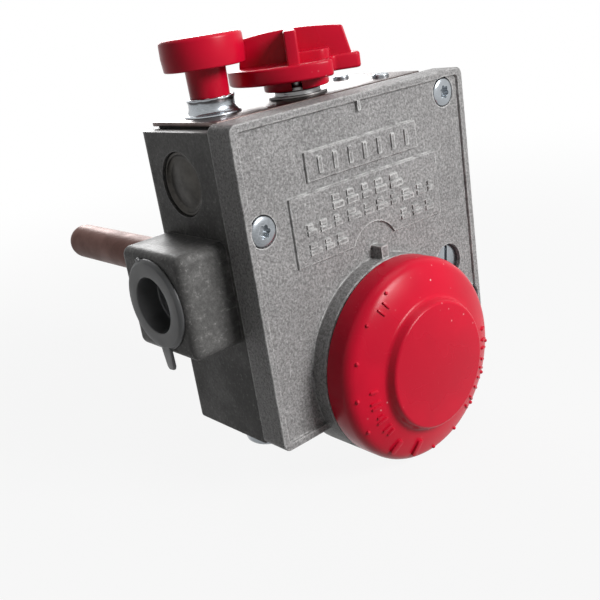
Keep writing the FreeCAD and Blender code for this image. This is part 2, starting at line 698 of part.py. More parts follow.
def grip_ribs(disc_top):
    """The rib that stands square to the grip in front, and the low ledge beside it."""
    half = rib_width / 2
    low = disc_top - 0.7
    rib = box(-half, half, cock_y - rib_reach, cock_y, low, disc_top + grip_height - 0.15)
    ledge = box(0, step_x, cock_y - ledge_reach, cock_y, low, disc_top + ledge_height)
    return [rib, ledge]


# ---- flame safety ---------------------------------------------------------------------------------------

def safety_disc():
    at = (safety_x, axis_y)
    plate = cyl("z", at, safety_disc_radius, safety_seat_z - 2.6, safety_seat_z - 1.1)
    return plate.fuse(cyl("z", at, 2.6, safety_seat_z - 5, safety_seat_z - 2.6))


def safety_seal():
    at = (safety_x, axis_y)
    return cyl("z", at, safety_disc_radius, safety_seat_z - 1.1, safety_seat_z - 0.1)


def safety_stem():
    at = (safety_x, axis_y)
    return cyl("z", at, valve_stem_radius, armature_top_z, safety_seat_z - 5)


def armature():
    at = (safety_x, axis_y)
    return cyl("z", at, armature_radius, armature_top_z - armature_thickness, armature_top_z)


def safety_spring():
    at = (safety_x, axis_y)
    return spring("z", at, 6.6, 0.5, magnet_top_z + 0.05, safety_seat_z - 2.65, 7)


def magnet_housing():
    at = (safety_x, axis_y)
    outer = cyl("z", at, safety_bore_radius - slide_gap, magnet_top_z - magnet_length, magnet_top_z)
    inner = cyl("z", at, magnet_well_radius, magnet_top_z - magnet_length + 1.2, magnet_top_z + 1)
    return outer.cut(inner)


def magnet_core():
    """A U of soft iron: a base and two poles."""
    x, y = safety_x, axis_y
    base_z = magnet_top_z - magnet_length + 1.3
    base = box(x - 4.3, x + 4.3, y - 1.6, y + 1.6, base_z, base_z + 3)
    poles = [box(x + s - 1.3, x + s + 1.3, y - 1.6, y + 1.6, base_z, magnet_top_z - 0.1) for s in (-3.0, 3.0)]
    return base.fuse(poles).removeSplitter()


def magnet_coil():
    """The heavy single-layer winding round one pole."""
    x, y = safety_x + 3.0, axis_y
    z0 = magnet_top_z - magnet_length + 4.8
    outer = box(x - 2.1, x + 1.9, y - 2.5, y + 2.5, z0, magnet_top_z - 2.5)
    return outer.cut(box(x - 1.4, x + 1.4, y - 1.7, y + 1.7, z0 - 1, magnet_top_z))


def magnet_spacer():
    at = (safety_x, axis_y)
    return ring("z", at, safety_bore_radius - slide_gap, 6.0, bottom_z + 6, magnet_top_z - magnet_length)


def magnet_nut():
    """The hexagonal nut below the body: it holds the magnet and takes the thermocouple."""
    at = (safety_x, axis_y)
    low = bottom_z - nut_height
    shape = hexagon(at, nut_flats, low, bottom_z)
    collar = cyl("z", at, nut_collar_radius, low - nut_collar_height, low + 0.5)
    foot = low - nut_collar_height
    collar = collar.makeFillet(1.6, edges_where(collar, lambda e: e.BoundBox.ZMax < foot + 0.01))
    root = cyl("z", at, safety_bore_radius - thread_gap, bottom_z, bottom_z + 6)
    bore = cyl("z", at, thermocouple_radius, foot - 1, bottom_z)
    way = cyl("z", at, 1.8, bottom_z - 1, bottom_z + 7)
    return shape.fuse([collar, root]).cut(bore.fuse(way)).removeSplitter()


# ---- gas inlet ------------------------------------------------------------------------------------------

def inlet_dust_plug():
    """The push-in plastic plug: a flange with a pull tab and a hollow barrel."""
    left = boss_left_x
    at = (inlet_y, inlet_z)
    flange = cyl("x", at, plug_flange_radius, left - plug_flange_thickness, left)
    radius, end = inlet_mouth_radius - 0.1, left + inlet_mouth_depth - 0.4
    barrel = cyl("x", at, radius, left, end)
    hollow = cyl("x", at, radius - 2.0, left - 5, end - plug_wall)
    edge = edges_where(flange, lambda e: e.BoundBox.XMax < left - plug_flange_thickness + 0.01)
    flange = flange.makeChamfer(0.5, edge)
    flange = flange.fuse([pull_tab(left), nib(left)]).removeSplitter()
    return flange.fuse(barrel).cut(hollow).removeSplitter()


def pull_tab(left):
    """The tapered tab at the bottom of the dust plug's flange."""
    root, tip = inlet_z - plug_flange_radius + 2, inlet_z - plug_flange_radius - tab_length
    x0 = left - plug_flange_thickness
    half = tab_width / 2
    tip_half = half * 0.75
    corners = [V(x0, inlet_y - half, root), V(x0, inlet_y + half, root), V(x0, inlet_y + tip_half, tip),
               V(x0, inlet_y - tip_half, tip), V(x0, inlet_y - half, root)]
    tab = Part.Face(Part.makePolygon(corners)).extrude(V(plug_flange_thickness - 0.2, 0, 0))
    tab = tab.makeFillet(1.2, edges_where(tab, lambda e: along(e, "x") and e.CenterOfMass.z < tip + 0.01))
    tab.rotate(V(0, inlet_y, inlet_z), V(1, 0, 0), -tab_angle)
    return tab


def nib(left):
    """The small moulding nib at the top of the flange."""
    top = inlet_z + plug_flange_radius
    bump = box(left - plug_flange_thickness + 0.3, left, inlet_y - 0.8, inlet_y + 0.8, top - 1, top + 0.9)
    bump.rotate(V(0, inlet_y, inlet_z), V(1, 0, 0), -nib_angle)
    return bump


def side_plug():
    """The domed cup plug pressed into the cored hole in the left side."""
    at = (cup_plug_y, cup_plug_z)
    face = -body_half + cup_plug_sink
    radius = cup_plug_radius - thread_gap
    rim = ring("x", at, radius, radius - 1.2, face, -body_half + cup_plug_depth)
    sphere_radius = (radius ** 2 + cup_plug_dome ** 2) / (2 * cup_plug_dome)
    centre = V(face + 0.7 - cup_plug_dome + sphere_radius, cup_plug_y, cup_plug_z)
    dome = Part.makeSphere(sphere_radius, centre).cut(Part.makeSphere(sphere_radius - 1.1, centre))
    dome = dome.common(cyl("x", at, radius - 0.6, face - 5, face + 3))
    return rim.fuse(dome).removeSplitter()


# ---- thermostat -----------------------------------------------------------------------------------------

def tank_shank():
    """The nipple that screws into the tank; its thread is left plain here."""
    thread = cyl("y", (0, 0), shank_radius, 0, shank_length)
    end = edges_where(thread, lambda e: e.BoundBox.YMin > shank_length - 0.01)
    thread = thread.makeChamfer(shank_chamfer, end)
    root = cyl("y", (0, 0), shank_root_radius, -shank_root_depth, 0)
    return thread.fuse(root).cut(cyl("y", (0, 0), tube_radius + thread_gap, -50, 50)).removeSplitter()


def sensing_tube():
    """The copper tube: a flange under the shank's root, and a round closed end."""
    end = tube_reach - tube_radius
    outer = cyl("y", (0, 0), tube_radius, -shank_root_depth, end)
    outer = outer.fuse(Part.makeSphere(tube_radius, V(0, end, 0)))
    flange = cyl("y", (0, 0), tube_radius + 3, -shank_root_depth - 1, -shank_root_depth)
    inner_radius = tube_radius - tube_wall
    inner = cyl("y", (0, 0), inner_radius, -shank_root_depth - 2, end)
    inner = inner.fuse(Part.makeSphere(inner_radius, V(0, end, 0)))
    return outer.fuse(flange).cut(inner).removeSplitter()


def rod_anchor():
    """The brass cup in the tube's end that the rod bears on."""
    end = tube_reach - tube_radius
    radius = tube_radius - tube_wall - thread_gap
    cup = cyl("y", (0, 0), radius, end - 6, end)
    return cup.cut(cyl("y", (0, 0), rod_radius + slide_gap, end - 7, end - 2))


def invar_rod():
    end = tube_reach - tube_radius - 2 - face_gap
    return cyl("y", (0, 0), rod_radius, lever_back_y + 0.7, end)


def eco_fuse():
    """The one-shot cut-off that lies beside the rod."""
    at = (rod_radius + 2.3, 0)
    fuse = cyl("y", at, 1.9, 60, 78)
    return fuse.makeFillet(0.6, fuse.Edges[:1] + fuse.Edges[2:])


def eco_lead():
    at = (rod_radius + 2.3, 0)
    return cyl("y", at, 0.6, -shank_root_depth - 1, 60)


def thermostat_lever():
    """The lever: a plate with two ears round the pivot, and a fork at its top for the valve stem."""
    half = lever_half_width
    plate = box(-half, half, lever_front_y, lever_back_y, dial_z - 4, main_valve_z + 6)
    slot = box(-2.2, 2.2, lever_front_y - 1, lever_back_y + 1, main_valve_z - 3, main_valve_z + 7)
    ears = [box(x - 1, x + 1, pivot_y - 2.6, lever_back_y, dial_z - 2.6, dial_z + 2.6) for x in (-4.6, 4.6)]
    shape = plate.cut(slot).fuse(ears)
    return shape.cut(cyl("x", (pivot_y, dial_z), pivot_radius + shaft_gap, -9, 9)).removeSplitter()


def fulcrum_carriage():
    """The nut that the dial's screw moves; its cheeks hold the pivot pin."""
    half = cavity_half_width - face_gap
    block = box(-half, half, carriage_front_y, pivot_y - 3.2, dial_z - 4.5, dial_z + 4.5)
    cheeks = [box(x - 1.2, x + 1.2, pivot_y - 3.3, pivot_y + 2.2, dial_z - 3, dial_z + 3)
              for x in (-8.2, 8.2)]
    nut = cyl("y", (0, dial_z), screw_radius + shaft_gap, carriage_front_y - 1, pivot_y)
    pin_hole = cyl("x", (pivot_y, dial_z), pivot_radius + thread_gap, -12, 12)
    return block.fuse(cheeks).cut(nut.fuse(pin_hole)).removeSplitter()


def pivot_pin():
    half = cavity_half_width - face_gap
    return cyl("x", (pivot_y, dial_z), pivot_radius, -half, half)


def dial_bushing():
    """The threaded bush in the cover that carries the spindle."""
    rear = pocket_y
    front = face_y - collar_height + 0.2
    shape = cyl("y", (0, dial_z), bushing_radius, front, rear)
    return shape.cut(cyl("y", (0, dial_z), spindle_radius + shaft_gap, front - 1, rear + 1))


def dial_spindle():
    """The spindle: a threaded nose in the carriage and a flatted end in the dial."""
    front = dial_step_y + 1.0
    shaft = cyl("y", (0, dial_z), spindle_radius, front, pocket_y)
    nose = cyl("y", (0, dial_z), screw_radius, pocket_y, pivot_y - 3.4)
    flat = box(-5, 5, front - 1, dial_rear_y + 1, dial_z + spindle_radius - 1.2, dial_z + 6)
    return shaft.fuse(nose).cut(flat)


def dial_stop_pin():
    return cyl("y", (0, dial_z - dial_stop_radius), stop_pin_radius, collar_y + 0.4, face_y + 2.5)


def dial_ticks():
    """Raised marks on the sloping face: bars, dots and dashes of different lengths."""
    slope_angle = math.degrees(math.atan2(dial_cone, dial_radius - dial_button_radius - 1.1))
    mean_radius = (dial_radius + dial_button_radius) / 2 + 2.6
    marks = []
    plan = [(-88, 7.0, 1.7), (-108, 6.4, 1.7), (-128, 2.2, 1.0), (-134, 3.6, 1.0), (-140, 2.8, 1.0),
            (-146, 3.6, 1.0), (-68, 1.4, 1.4), (-50, 1.4, 1.4),
            (-30, 3.2, 1.2), (-22, 3.8, 1.2), (-14, 3.2, 1.2),
            (-5, 1.6, 1.4), (4, 3.4, 1.2), (12, 3.8, 1.2), (20, 3.2, 1.2), (128, 1.4, 1.4), (144, 3.0, 1.2),
            (160, 1.4, 1.4), (178, 1.4, 1.4), (196, 1.4, 1.4)]
    for angle, length, width in plan:
        bar = box(mean_radius - length / 2, mean_radius + length / 2, -1.0, 0.5, -width / 2, width / 2)
        bar.rotate(V(mean_radius, 0, 0), V(0, 0, 1), slope_angle)
        share = (dial_radius - mean_radius) / (dial_radius - dial_button_radius - 1.1)
        depth = dial_shoulder_y - dial_cone * share
        bar.translate(V(0, depth + 0.35, 0))
        bar.rotate(V(0, 0, 0), V(0, 1, 0), -angle)
        bar.translate(V(0, 0, dial_z))
        marks.append(bar)
    return marks


def temperature_dial():
    """The red dial: skirt, sloping face and raised centre, hollow behind with radial ribs."""
    at = (0, dial_z)
    step_radius = dial_button_radius + 1.1
    skirt = cyl("y", at, dial_radius, dial_shoulder_y, dial_rear_y)
    face = cone("y", at, step_radius, dial_radius, dial_step_y, dial_shoulder_y)
    shell = skirt.fuse(face).removeSplitter()
    shell = shell.makeFillet(1.5, edges_where(shell, lambda e: abs(e.BoundBox.YMin - dial_shoulder_y) < 0.01
                                              and abs(e.BoundBox.YMax - dial_shoulder_y) < 0.01))
    button = cyl("y", at, dial_button_radius, dial_front_y, dial_step_y + 1)
    button = button.makeFillet(1.1, edges_where(button, lambda e: e.BoundBox.YMax < dial_front_y + 0.01))
    outer = shell.fuse([button] + dial_ticks()).removeSplitter()
    hollow = cyl("y", at, dial_radius - dial_wall, dial_shoulder_y + 1.4, dial_rear_y + 1)
    hub = cyl("y", at, dial_hub_radius, dial_step_y, dial_rear_y)
    keep = [hub]
    for i in range(8):
        web = box(0, dial_radius, dial_shoulder_y, dial_rear_y - 2, dial_z - 0.7, dial_z + 0.7)
        web.rotate(V(0, 0, dial_z), V(0, 1, 0), 45 * i + 10)
        keep.append(web)
    hollow = hollow.cut(keep[0].fuse(keep[1:]))
    front = dial_step_y + 1.0
    bore = cyl("y", at, spindle_radius + thread_gap, front - face_gap, dial_rear_y + 3)
    flat = box(-5, 5, front - 1, dial_rear_y + 0.8, dial_z + spindle_radius - 1.15, dial_z + 6)
    lug = stop_lug()
    return outer.cut(hollow).fuse([hub, lug]).cut(bore.cut(flat)).removeSplitter()


def stop_lug():
    """The lug behind the dial that meets the stop pin at each end of its turn."""
    at, half = (0, dial_z), 1.8
    inner = ring("y", at, dial_stop_radius + half, dial_stop_radius - half,
                 collar_y + 1.5, dial_shoulder_y + 2)
    spread = math.radians(38)
    reach = dial_radius * 2
    side, high = reach * math.sin(spread), dial_z + reach * math.cos(spread)
    y0 = collar_y + 5
    corner = [V(0, y0, dial_z), V(-side, y0, high), V(side, y0, high), V(0, y0, dial_z)]
    wedge = Part.Face(Part.makePolygon(corner)).extrude(V(0, -30, 0))
    return inner.common(wedge)


def main_valve_disc():
    """The thermostat's gas valve: disc, stem and the head that the lever lifts."""
    at = (0, main_valve_z)
    disc = cyl("y", at, main_disc_radius, cavity_rear_y - 3.6, cavity_rear_y - 2.2)
    stem = cyl("y", at, valve_stem_radius, lever_front_y - 4.4, cavity_rear_y - 3.6)
    head = cyl("y", at, 4.0, lever_front_y - 5.6, lever_front_y - 4.4)
    return disc.fuse([stem, head]).removeSplitter()


def main_valve_seal():
    return cyl("y", (0, main_valve_z), main_disc_radius, cavity_rear_y - 2.2, cavity_rear_y - 1.1)


def snap_disc():
    """The dished clicker disc between the lever and the valve's head."""
    at = (0, main_valve_z)
    back, front = lever_front_y - 1.3, lever_front_y - 4.1
    outer = cone("y", at, 3.6, 7.5, front, back)
    inner = cone("y", at, 3.0, 6.9, front - 0.05, back + 0.05)
    inner.translate(V(0, 0.45, 0))
    return outer.cut(inner).cut(cyl("y", at, valve_stem_radius + 0.25, front - 2, back + 2))


def main_valve_spring():
    return spring("y", (0, main_valve_z), 3.0, 0.4, cover_back_y - 4.95, lever_front_y - 5.65, 3)


# ---- regulator ------------------------------------------------------------------------------------------

def regulator_cap():
    """The bright slotted cap in the cover's round opening."""
    at = (regulator_x, regulator_z)
    cap = cyl("y", at, regulator_cap_radius - thread_gap, face_y + 1.2, face_y + 4.0)
    edge = edges_where(cap, lambda e: e.BoundBox.YMax < face_y + 1.21)
    cap = cap.makeFillet(0.5, edge)
    slot = box(at[0] - 0.8, at[0] + 0.8, face_y, face_y + 2.6, at[1] - 10, at[1] + 10)
    slot.rotate(V(at[0], 0, at[1]), V(0, 1, 0), 8)
    return cap.cut(slot)


def regulator_screw():
    at = (regulator_x, regulator_z)
    screw = cyl("y", at, regulator_cap_radius - thread_gap, face_y + 4.6, face_y + 7.4)
    return screw.cut(box(at[0] - 0.7, at[0] + 0.7, face_y + 3, face_y + 5.8, at[1] - 10, at[1] + 10))


def regulator_spring():
    at = (regulator_x, regulator_z)
    return spring("y", at, 4.6, 0.45, face_y + 7.45, regulator_ledge_y - 2.05, 2.5)


def diaphragm():
    """The rubber diaphragm with its rolled fold, held at its edge."""
    at = (regulator_x, regulator_z)
    sheet = cyl("y", at, regulator_bore_radius - slide_gap, regulator_ledge_y - 0.8, regulator_ledge_y)
    return sheet.cut(cyl("y", at, valve_stem_radius + 0.1, regulator_ledge_y - 2, regulator_ledge_y + 1))


def diaphragm_ring():
    at = (regulator_x, regulator_z)
    outer = regulator_bore_radius - thread_gap
    return ring("y", at, outer, regulator_throat_radius, joint_y, regulator_ledge_y - 0.8)


def regulator_plate():
    """The stiff plate on the diaphragm, with the stem and the poppet below the web."""
    at = (regulator_x, regulator_z)
    plate = cyl("y", at, 7.0, regulator_ledge_y - 2.0, regulator_ledge_y - 0.8)
    stem_end_y = regulator_web_y + regulator_web_thickness + 3.5
    stem = cyl("y", at, valve_stem_radius, regulator_ledge_y - 2, stem_end_y)
    return plate.fuse(stem).removeSplitter()


def regulator_poppet():
    at = (regulator_x, regulator_z)
    z0 = regulator_web_y + regulator_web_thickness + 2.0
    return ring("y", at, 4.2, valve_stem_radius + 0.02, z0, z0 + 1.5)


# ---- outlets and small fittings -------------------------------------------------------------------------

def burner_outlet():
    """The hexagonal outlet fitting for the burner pipe."""
    at = (burner_x, axis_y)
    shape = hexagon(at, burner_flats, bottom_z - burner_height, bottom_z)
    root = cyl("z", at, burner_root_radius, bottom_z, bottom_z + burner_root_depth)
    bore = cyl("z", at, burner_bore_radius, bottom_z - burner_height - 1, bottom_z)
    way = cyl("z", at, burner_way_radius, bottom_z - 1, bottom_z + burner_root_depth + 1)
    return shape.fuse(root).cut(bore.fuse(way)).removeSplitter()


def pilot_outlet():
    """The small hexagonal fitting for the pilot tube."""
    at = (pilot_x, axis_y)
    shape = hexagon(at, pilot_flats, bottom_z - pilot_height, bottom_z)
    root = cyl("z", at, pilot_root_radius, bottom_z, bottom_z + pilot_root_depth)
    bore = cyl("z", at, pilot_thread_radius, bottom_z - pilot_height - 1, bottom_z)
    way = cyl("z", at, 1.6, bottom_z - 1, bottom_z + 8)
    return shape.fuse(root).cut(bore.fuse(way)).removeSplitter()


def pilot_filter():
    at = (pilot_x, axis_y)
    top = bottom_z + pilot_well_depth - 0.5
    return ring("z", at, pilot_well_radius - slide_gap, 1.6, bottom_z + pilot_root_depth + 0.5, top)


def pilot_adjuster():
    """The needle screw that sets the pilot gas, reached from behind."""
    at = (pilot_x, cock_bottom_z - pilot_adjuster_drop)
    shoulder = axis_y + pilot_bore_radius + 3
    needle = cyl("y", at, pilot_adjuster_radius - thread_gap, shoulder, -0.6)
    tip = cone("y", at, 0.8, 2.3, shoulder - 1.8, shoulder)
    slot = box(at[0] - 5, at[0] + 5, -1.8, 1, at[1] - 0.4, at[1] + 0.4)
    return needle.fuse(tip).cut(slot)


def pressure_tap_plug():
    """The square-socket pipe plug in the right side."""
    at = (axis_y, tap_z)
    plug = cyl("x", at, tap_radius - thread_gap, body_half - tap_depth, body_half - 0.5)
    socket = box(body_half - 4.5, body_half + 1, axis_y - 2.2, axis_y + 2.2, tap_z - 2.2, tap_z + 2.2)
    return plug.cut(socket)


NODES = {
    "valve_body": valve_body, "inlet_boss": inlet_boss,
    "cover_gasket": cover_gasket, "front_cover": front_cover,
    "cover_screws": cover_screws, "top_plate": top_plate, "plate_gasket": plate_gasket,
    "plate_screws": plate_screws, "button_ferrule": button_ferrule, "pilot_button": pilot_button,
    "button_plunger": button_plunger, "button_spring": button_spring, "plunger_seal": plunger_seal,
    "stem_bushing": stem_bushing, "stem_clip": stem_clip, "cock_spring": cock_spring, "cock_stem": cock_stem,
    "cock_plug": cock_plug, "gas_knob": gas_knob, "safety_disc": safety_disc, "safety_seal": safety_seal,
    "safety_stem": safety_stem, "armature": armature, "safety_spring": safety_spring,
    "magnet_housing": magnet_housing, "magnet_core": magnet_core, "magnet_coil": magnet_coil,
    "magnet_spacer": magnet_spacer, "magnet_nut": magnet_nut, "inlet_dust_plug": inlet_dust_plug,
    "side_plug": side_plug, "tank_shank": tank_shank, "sensing_tube": sensing_tube, "rod_anchor": rod_anchor,
    "invar_rod": invar_rod, "eco_fuse": eco_fuse, "eco_lead": eco_lead, "thermostat_lever": thermostat_lever,
    "fulcrum_carriage": fulcrum_carriage, "pivot_pin": pivot_pin, "dial_bushing": dial_bushing,
    "dial_spindle": dial_spindle, "dial_stop_pin": dial_stop_pin, "temperature_dial": temperature_dial,
    "main_valve_disc": main_valve_disc, "main_valve_seal": main_valve_seal, "snap_disc": snap_disc,
    "main_valve_spring": main_valve_spring, "regulator_cap": regulator_cap,
    "regulator_screw": regulator_screw,
    "regulator_spring": regulator_spring, "diaphragm": diaphragm, "diaphragm_ring": diaphragm_ring,
    "regulator_plate": regulator_plate, "regulator_poppet": regulator_poppet, "burner_outlet": burner_outlet,
    "pilot_outlet": pilot_outlet, "pilot_filter": pilot_filter, "pilot_adjuster": pilot_adjuster,
    "pressure_tap_plug": pressure_tap_plug,
}


def main():
    os.makedirs("parts", exist_ok=True)
    for name, make in NODES.items():
        made = make()
        shape = Part.makeCompound(made) if isinstance(made, list) else made
        solids = shape.Solids
        if not solids or not all(s.isValid() and s.Volume > 0 for s in solids):
            print("fault in", name)
        shape.exportStep(f"parts/{name}.step")
        size = shape.BoundBox
        print(f"{name:20s} solids {len(solids)}  volume {sum(s.Volume for s in solids):10.1f}"
              f"  size {size.XLength:6.1f} {size.YLength:6.1f} {size.ZLength:6.1f}")


main()
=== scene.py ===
import bpy
import bmesh
import json
from math import acos, asin, atan2, cos, degrees, hypot, pi, radians, sin
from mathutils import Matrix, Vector


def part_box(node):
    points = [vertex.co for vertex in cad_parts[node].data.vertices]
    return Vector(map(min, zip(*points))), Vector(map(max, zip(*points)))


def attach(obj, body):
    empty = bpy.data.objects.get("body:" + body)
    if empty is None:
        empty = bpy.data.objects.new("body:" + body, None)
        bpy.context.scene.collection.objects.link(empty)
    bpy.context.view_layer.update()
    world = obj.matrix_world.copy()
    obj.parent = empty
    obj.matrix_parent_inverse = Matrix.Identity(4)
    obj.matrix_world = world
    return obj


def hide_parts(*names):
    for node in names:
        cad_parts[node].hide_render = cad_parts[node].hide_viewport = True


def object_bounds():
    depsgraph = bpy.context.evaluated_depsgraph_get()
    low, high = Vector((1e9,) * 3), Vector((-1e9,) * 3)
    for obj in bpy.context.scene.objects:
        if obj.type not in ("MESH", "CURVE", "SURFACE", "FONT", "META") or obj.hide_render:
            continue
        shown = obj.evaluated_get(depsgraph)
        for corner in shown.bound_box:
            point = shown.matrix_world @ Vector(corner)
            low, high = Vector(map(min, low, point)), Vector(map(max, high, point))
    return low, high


bl_info = {
    "name": "Water Heater Gas Valve",
    "version": (1, 0, 0),
    "blender": (4, 5, 0),
    "location": "3D View > Sidebar > Gas Valve",
    "description": "Builds the visible castings, knobs and fittings of a gas valve round its packed frame",
    "category": "Add Mesh",
}

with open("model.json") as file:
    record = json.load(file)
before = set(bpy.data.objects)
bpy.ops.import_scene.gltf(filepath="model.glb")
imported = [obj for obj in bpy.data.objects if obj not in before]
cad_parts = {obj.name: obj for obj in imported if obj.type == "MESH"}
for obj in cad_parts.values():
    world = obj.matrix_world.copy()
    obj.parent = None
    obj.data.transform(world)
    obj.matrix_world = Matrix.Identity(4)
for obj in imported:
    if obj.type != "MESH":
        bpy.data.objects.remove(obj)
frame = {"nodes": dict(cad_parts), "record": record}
CAD_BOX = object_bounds()
MM = 0.001
SAME_PLACE = 1e-6       # points nearer than this, in metres, are one point


def middle(node):
    low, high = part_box(node)
    return (low + high) / 2


def span(node, axis):
    """A node's lowest and highest place along an axis, in mm."""
    return [getattr(corner, axis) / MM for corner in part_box(node)]


def half_span(node, axis):
    low, high = span(node, axis)
    return (high - low) / 2


# Axes that several pieces share.
DIAL_AXIS = middle("dial_spindle")
KNOB_AXIS = middle("cock_plug")
BUTTON_AXIS = middle("button_plunger")

# Sizes that the frame's boxes don't give, in mm.
DOT_RADIUS, DOT_INSET = 0.62, 2.4
CAP_HEIGHT = 9.1
HUB_HEIGHT, DISC_THICKNESS, GRIP_HEIGHT = 3.3, 4.8, 9.7
NUT_DROP = 11.0         # the nut's foot below the body's underside


# ---- modelling helpers ----------------------------------------------------------------------------------

def start(name, add, **settings):
    """Adds a primitive and opens it in edit mode with nothing selected."""
    bpy.ops.object.select_all(action="DESELECT")
    add(**settings)
    piece = bpy.context.object
    piece.name = name
    piece.data.name = name
    bpy.ops.object.mode_set(mode="EDIT")
    bpy.ops.mesh.select_mode(type="VERT")
    bpy.ops.mesh.select_all(action="DESELECT")
    return piece


def choose(piece, kind, test):
    """In edit mode, selects the verts or edges that pass a test."""
    bpy.ops.mesh.select_mode(type={"verts": "VERT", "edges": "EDGE"}[kind])
    bpy.ops.mesh.select_all(action="DESELECT")
    mesh = bmesh.from_edit_mesh(piece.data)
    for item in getattr(mesh, kind):
        if test(item):
            item.select_set(True)
    mesh.select_flush_mode()
    bmesh.update_edit_mesh(piece.data)


def only(piece):
    """Makes a piece the one that is selected and active, in object mode."""
    if bpy.context.object and bpy.context.object.mode != "OBJECT":
        bpy.ops.object.mode_set(mode="OBJECT")
    bpy.ops.object.select_all(action="DESELECT")
    piece.select_set(True)
    bpy.context.view_layer.objects.active = piece


def settle(piece):
    """Leaves edit mode and puts the piece's place into its mesh."""
    only(piece)
    bpy.ops.object.transform_apply(location=True, rotation=True, scale=True)
    return piece


def clean(piece):
    """Merges doubles and turns every face outwards."""
    only(piece)
    bpy.ops.object.mode_set(mode="EDIT")
    bpy.ops.mesh.select_all(action="SELECT")
    bpy.ops.mesh.remove_doubles(threshold=0.002 * MM)
    bpy.ops.mesh.normals_make_consistent(inside=False)
    bpy.ops.object.mode_set(mode="OBJECT")
    return piece


def apply_modifier(piece, kind, **settings):
    only(piece)
    modifier = piece.modifiers.new(kind.lower(), kind)
    for key, value in settings.items():
        setattr(modifier, key, value)
    bpy.ops.object.modifier_apply(modifier=modifier.name)
    return piece


def soften(piece, width, segments=3, angle=30.0):
    """Rounds the piece's edges that are sharper than an angle."""
    return apply_modifier(piece, "BEVEL", width=width, segments=segments, limit_method="ANGLE",
                          angle_limit=radians(angle), use_clamp_overlap=True, harden_normals=False)


def combine(piece, others, operation="UNION"):
    """Joins other meshes into one tool, and adds it to the piece or cuts it out."""
    tool = others[0]
    if len(others) > 1:
        only(tool)
        for other in others[1:]:
            other.select_set(True)
        bpy.ops.object.join()
    apply_modifier(piece, "BOOLEAN", operation=operation, object=tool, solver="EXACT",
                   use_self=len(others) > 1)
    only(tool)
    bpy.ops.object.delete()
    return clean(piece)


def finish(piece, body, node, slot, angle=32.0):
    """Shades a finished piece, gives it its body and its slot's material, and hides the CAD node that it
    stands for.
    """
    only(piece)
    bpy.ops.object.shade_smooth_by_angle(angle=radians(angle))
    piece.data.materials.clear()
    piece.data.materials.append(finishes.made[slot])
    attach(piece, body)
    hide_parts(node)
    return piece


def line_through(name, points):
    """Draws a line of edges through points by extruding one vertex, and stays in edit mode."""
    piece = start(name, bpy.ops.mesh.primitive_plane_add, size=0.001, location=points[0])
    bpy.ops.mesh.select_all(action="SELECT")
    bpy.ops.mesh.merge(type="CENTER")
    for before, after in zip(points, points[1:]):
        step = Vector(after) - Vector(before)
        bpy.ops.mesh.extrude_region_move(TRANSFORM_OT_translate={"value": step})
    return piece


def turned(name, profile, axis, at, steps=96, rounding=4):
    """A turned piece. Its profile is (radius, place along, rounding) in mm, round an axis through a point."""
    def place(radius, along):
        radius, along = radius * MM, along * MM
        return {"x": (along, at.y + radius, at.z), "y": (at.x + radius, along, at.z),
                "z": (at.x + radius, at.y, along)}[axis]
    piece = line_through(name, [place(r, a) for r, a, _ in profile])
    for radius, along, bend in profile:
        if bend > 0:
            corner = Vector(place(radius, along))
            choose(piece, "verts", lambda v: (piece.matrix_world @ v.co - corner).length < SAME_PLACE)
            bpy.ops.mesh.bevel(offset=bend * MM, segments=rounding, affect="VERTICES", clamp_overlap=True)
    bpy.ops.mesh.select_all(action="SELECT")
    way = {"x": (1, 0, 0), "y": (0, 1, 0), "z": (0, 0, 1)}[axis]
    bpy.ops.mesh.spin(steps=steps, angle=2 * pi, center=at, axis=way)
    return clean(settle(piece))


def prism(name, outline, plane, low, high):
    """A slab whose outline is drawn in mm on a plane ("xy", "xz" or "yz"), from low to high across it."""
    across = {"xy": 2, "xz": 1, "yz": 0}[plane]
    sides = [axis for axis in (0, 1, 2) if axis != across]
    points = []
    for a, b in outline:
        point = [0.0, 0.0, 0.0]
        point[sides[0]], point[sides[1]], point[across] = a * MM, b * MM, low * MM
        points.append(tuple(point))
    piece = line_through(name, points)
    bpy.ops.mesh.select_all(action="SELECT")
    bpy.ops.mesh.edge_face_add()
    bpy.ops.mesh.select_all(action="SELECT")
    step = [0.0, 0.0, 0.0]
    step[across] = (high - low) * MM
    bpy.ops.mesh.extrude_region_move(TRANSFORM_OT_translate={"value": step})
    return clean(settle(piece))


def arc(centre, radius, start_angle, end_angle, steps):
    """Points of an arc in mm, angles in degrees."""
    angles = [radians(start_angle + (end_angle - start_angle) * i / steps) for i in range(steps + 1)]
    return [(centre[0] + radius * cos(a), centre[1] + radius * sin(a)) for a in angles]


def rounded(low, high, radius, steps=6):
    """The outline of a rectangle with round corners."""
    (x0, y0), (x1, y1) = low, high
    left, right, front, rear = x0 + radius, x1 - radius, y0 + radius, y1 - radius
    corners = [((right, front), -90), ((right, rear), 0), ((left, rear), 90), ((left, front), 180)]
    return [point for centre, angle in corners for point in arc(centre, radius, angle, angle + 90, steps)]


def block(name, low, high):
    """A plain box between two corners in mm, to be shaped or to be part of another piece."""
    low, high = Vector(low) * MM, Vector(high) * MM
    bpy.ops.object.select_all(action="DESELECT")
    bpy.ops.mesh.primitive_cube_add(size=1.0, location=(low + high) / 2, scale=high - low)
    piece = bpy.context.object
    piece.name = name
    return settle(piece)


def rod(name, sides, radius, length, place, rotation=(0, 0, 0)):
    """A plain cylinder or prism, sizes in mm, to be shaped, joined or cut out."""
    bpy.ops.object.select_all(action="DESELECT")
    bpy.ops.mesh.primitive_cylinder_add(vertices=sides, radius=radius * MM, depth=length * MM, location=place,
                                        rotation=rotation)
    piece = bpy.context.object
    piece.name = name
    return settle(piece)


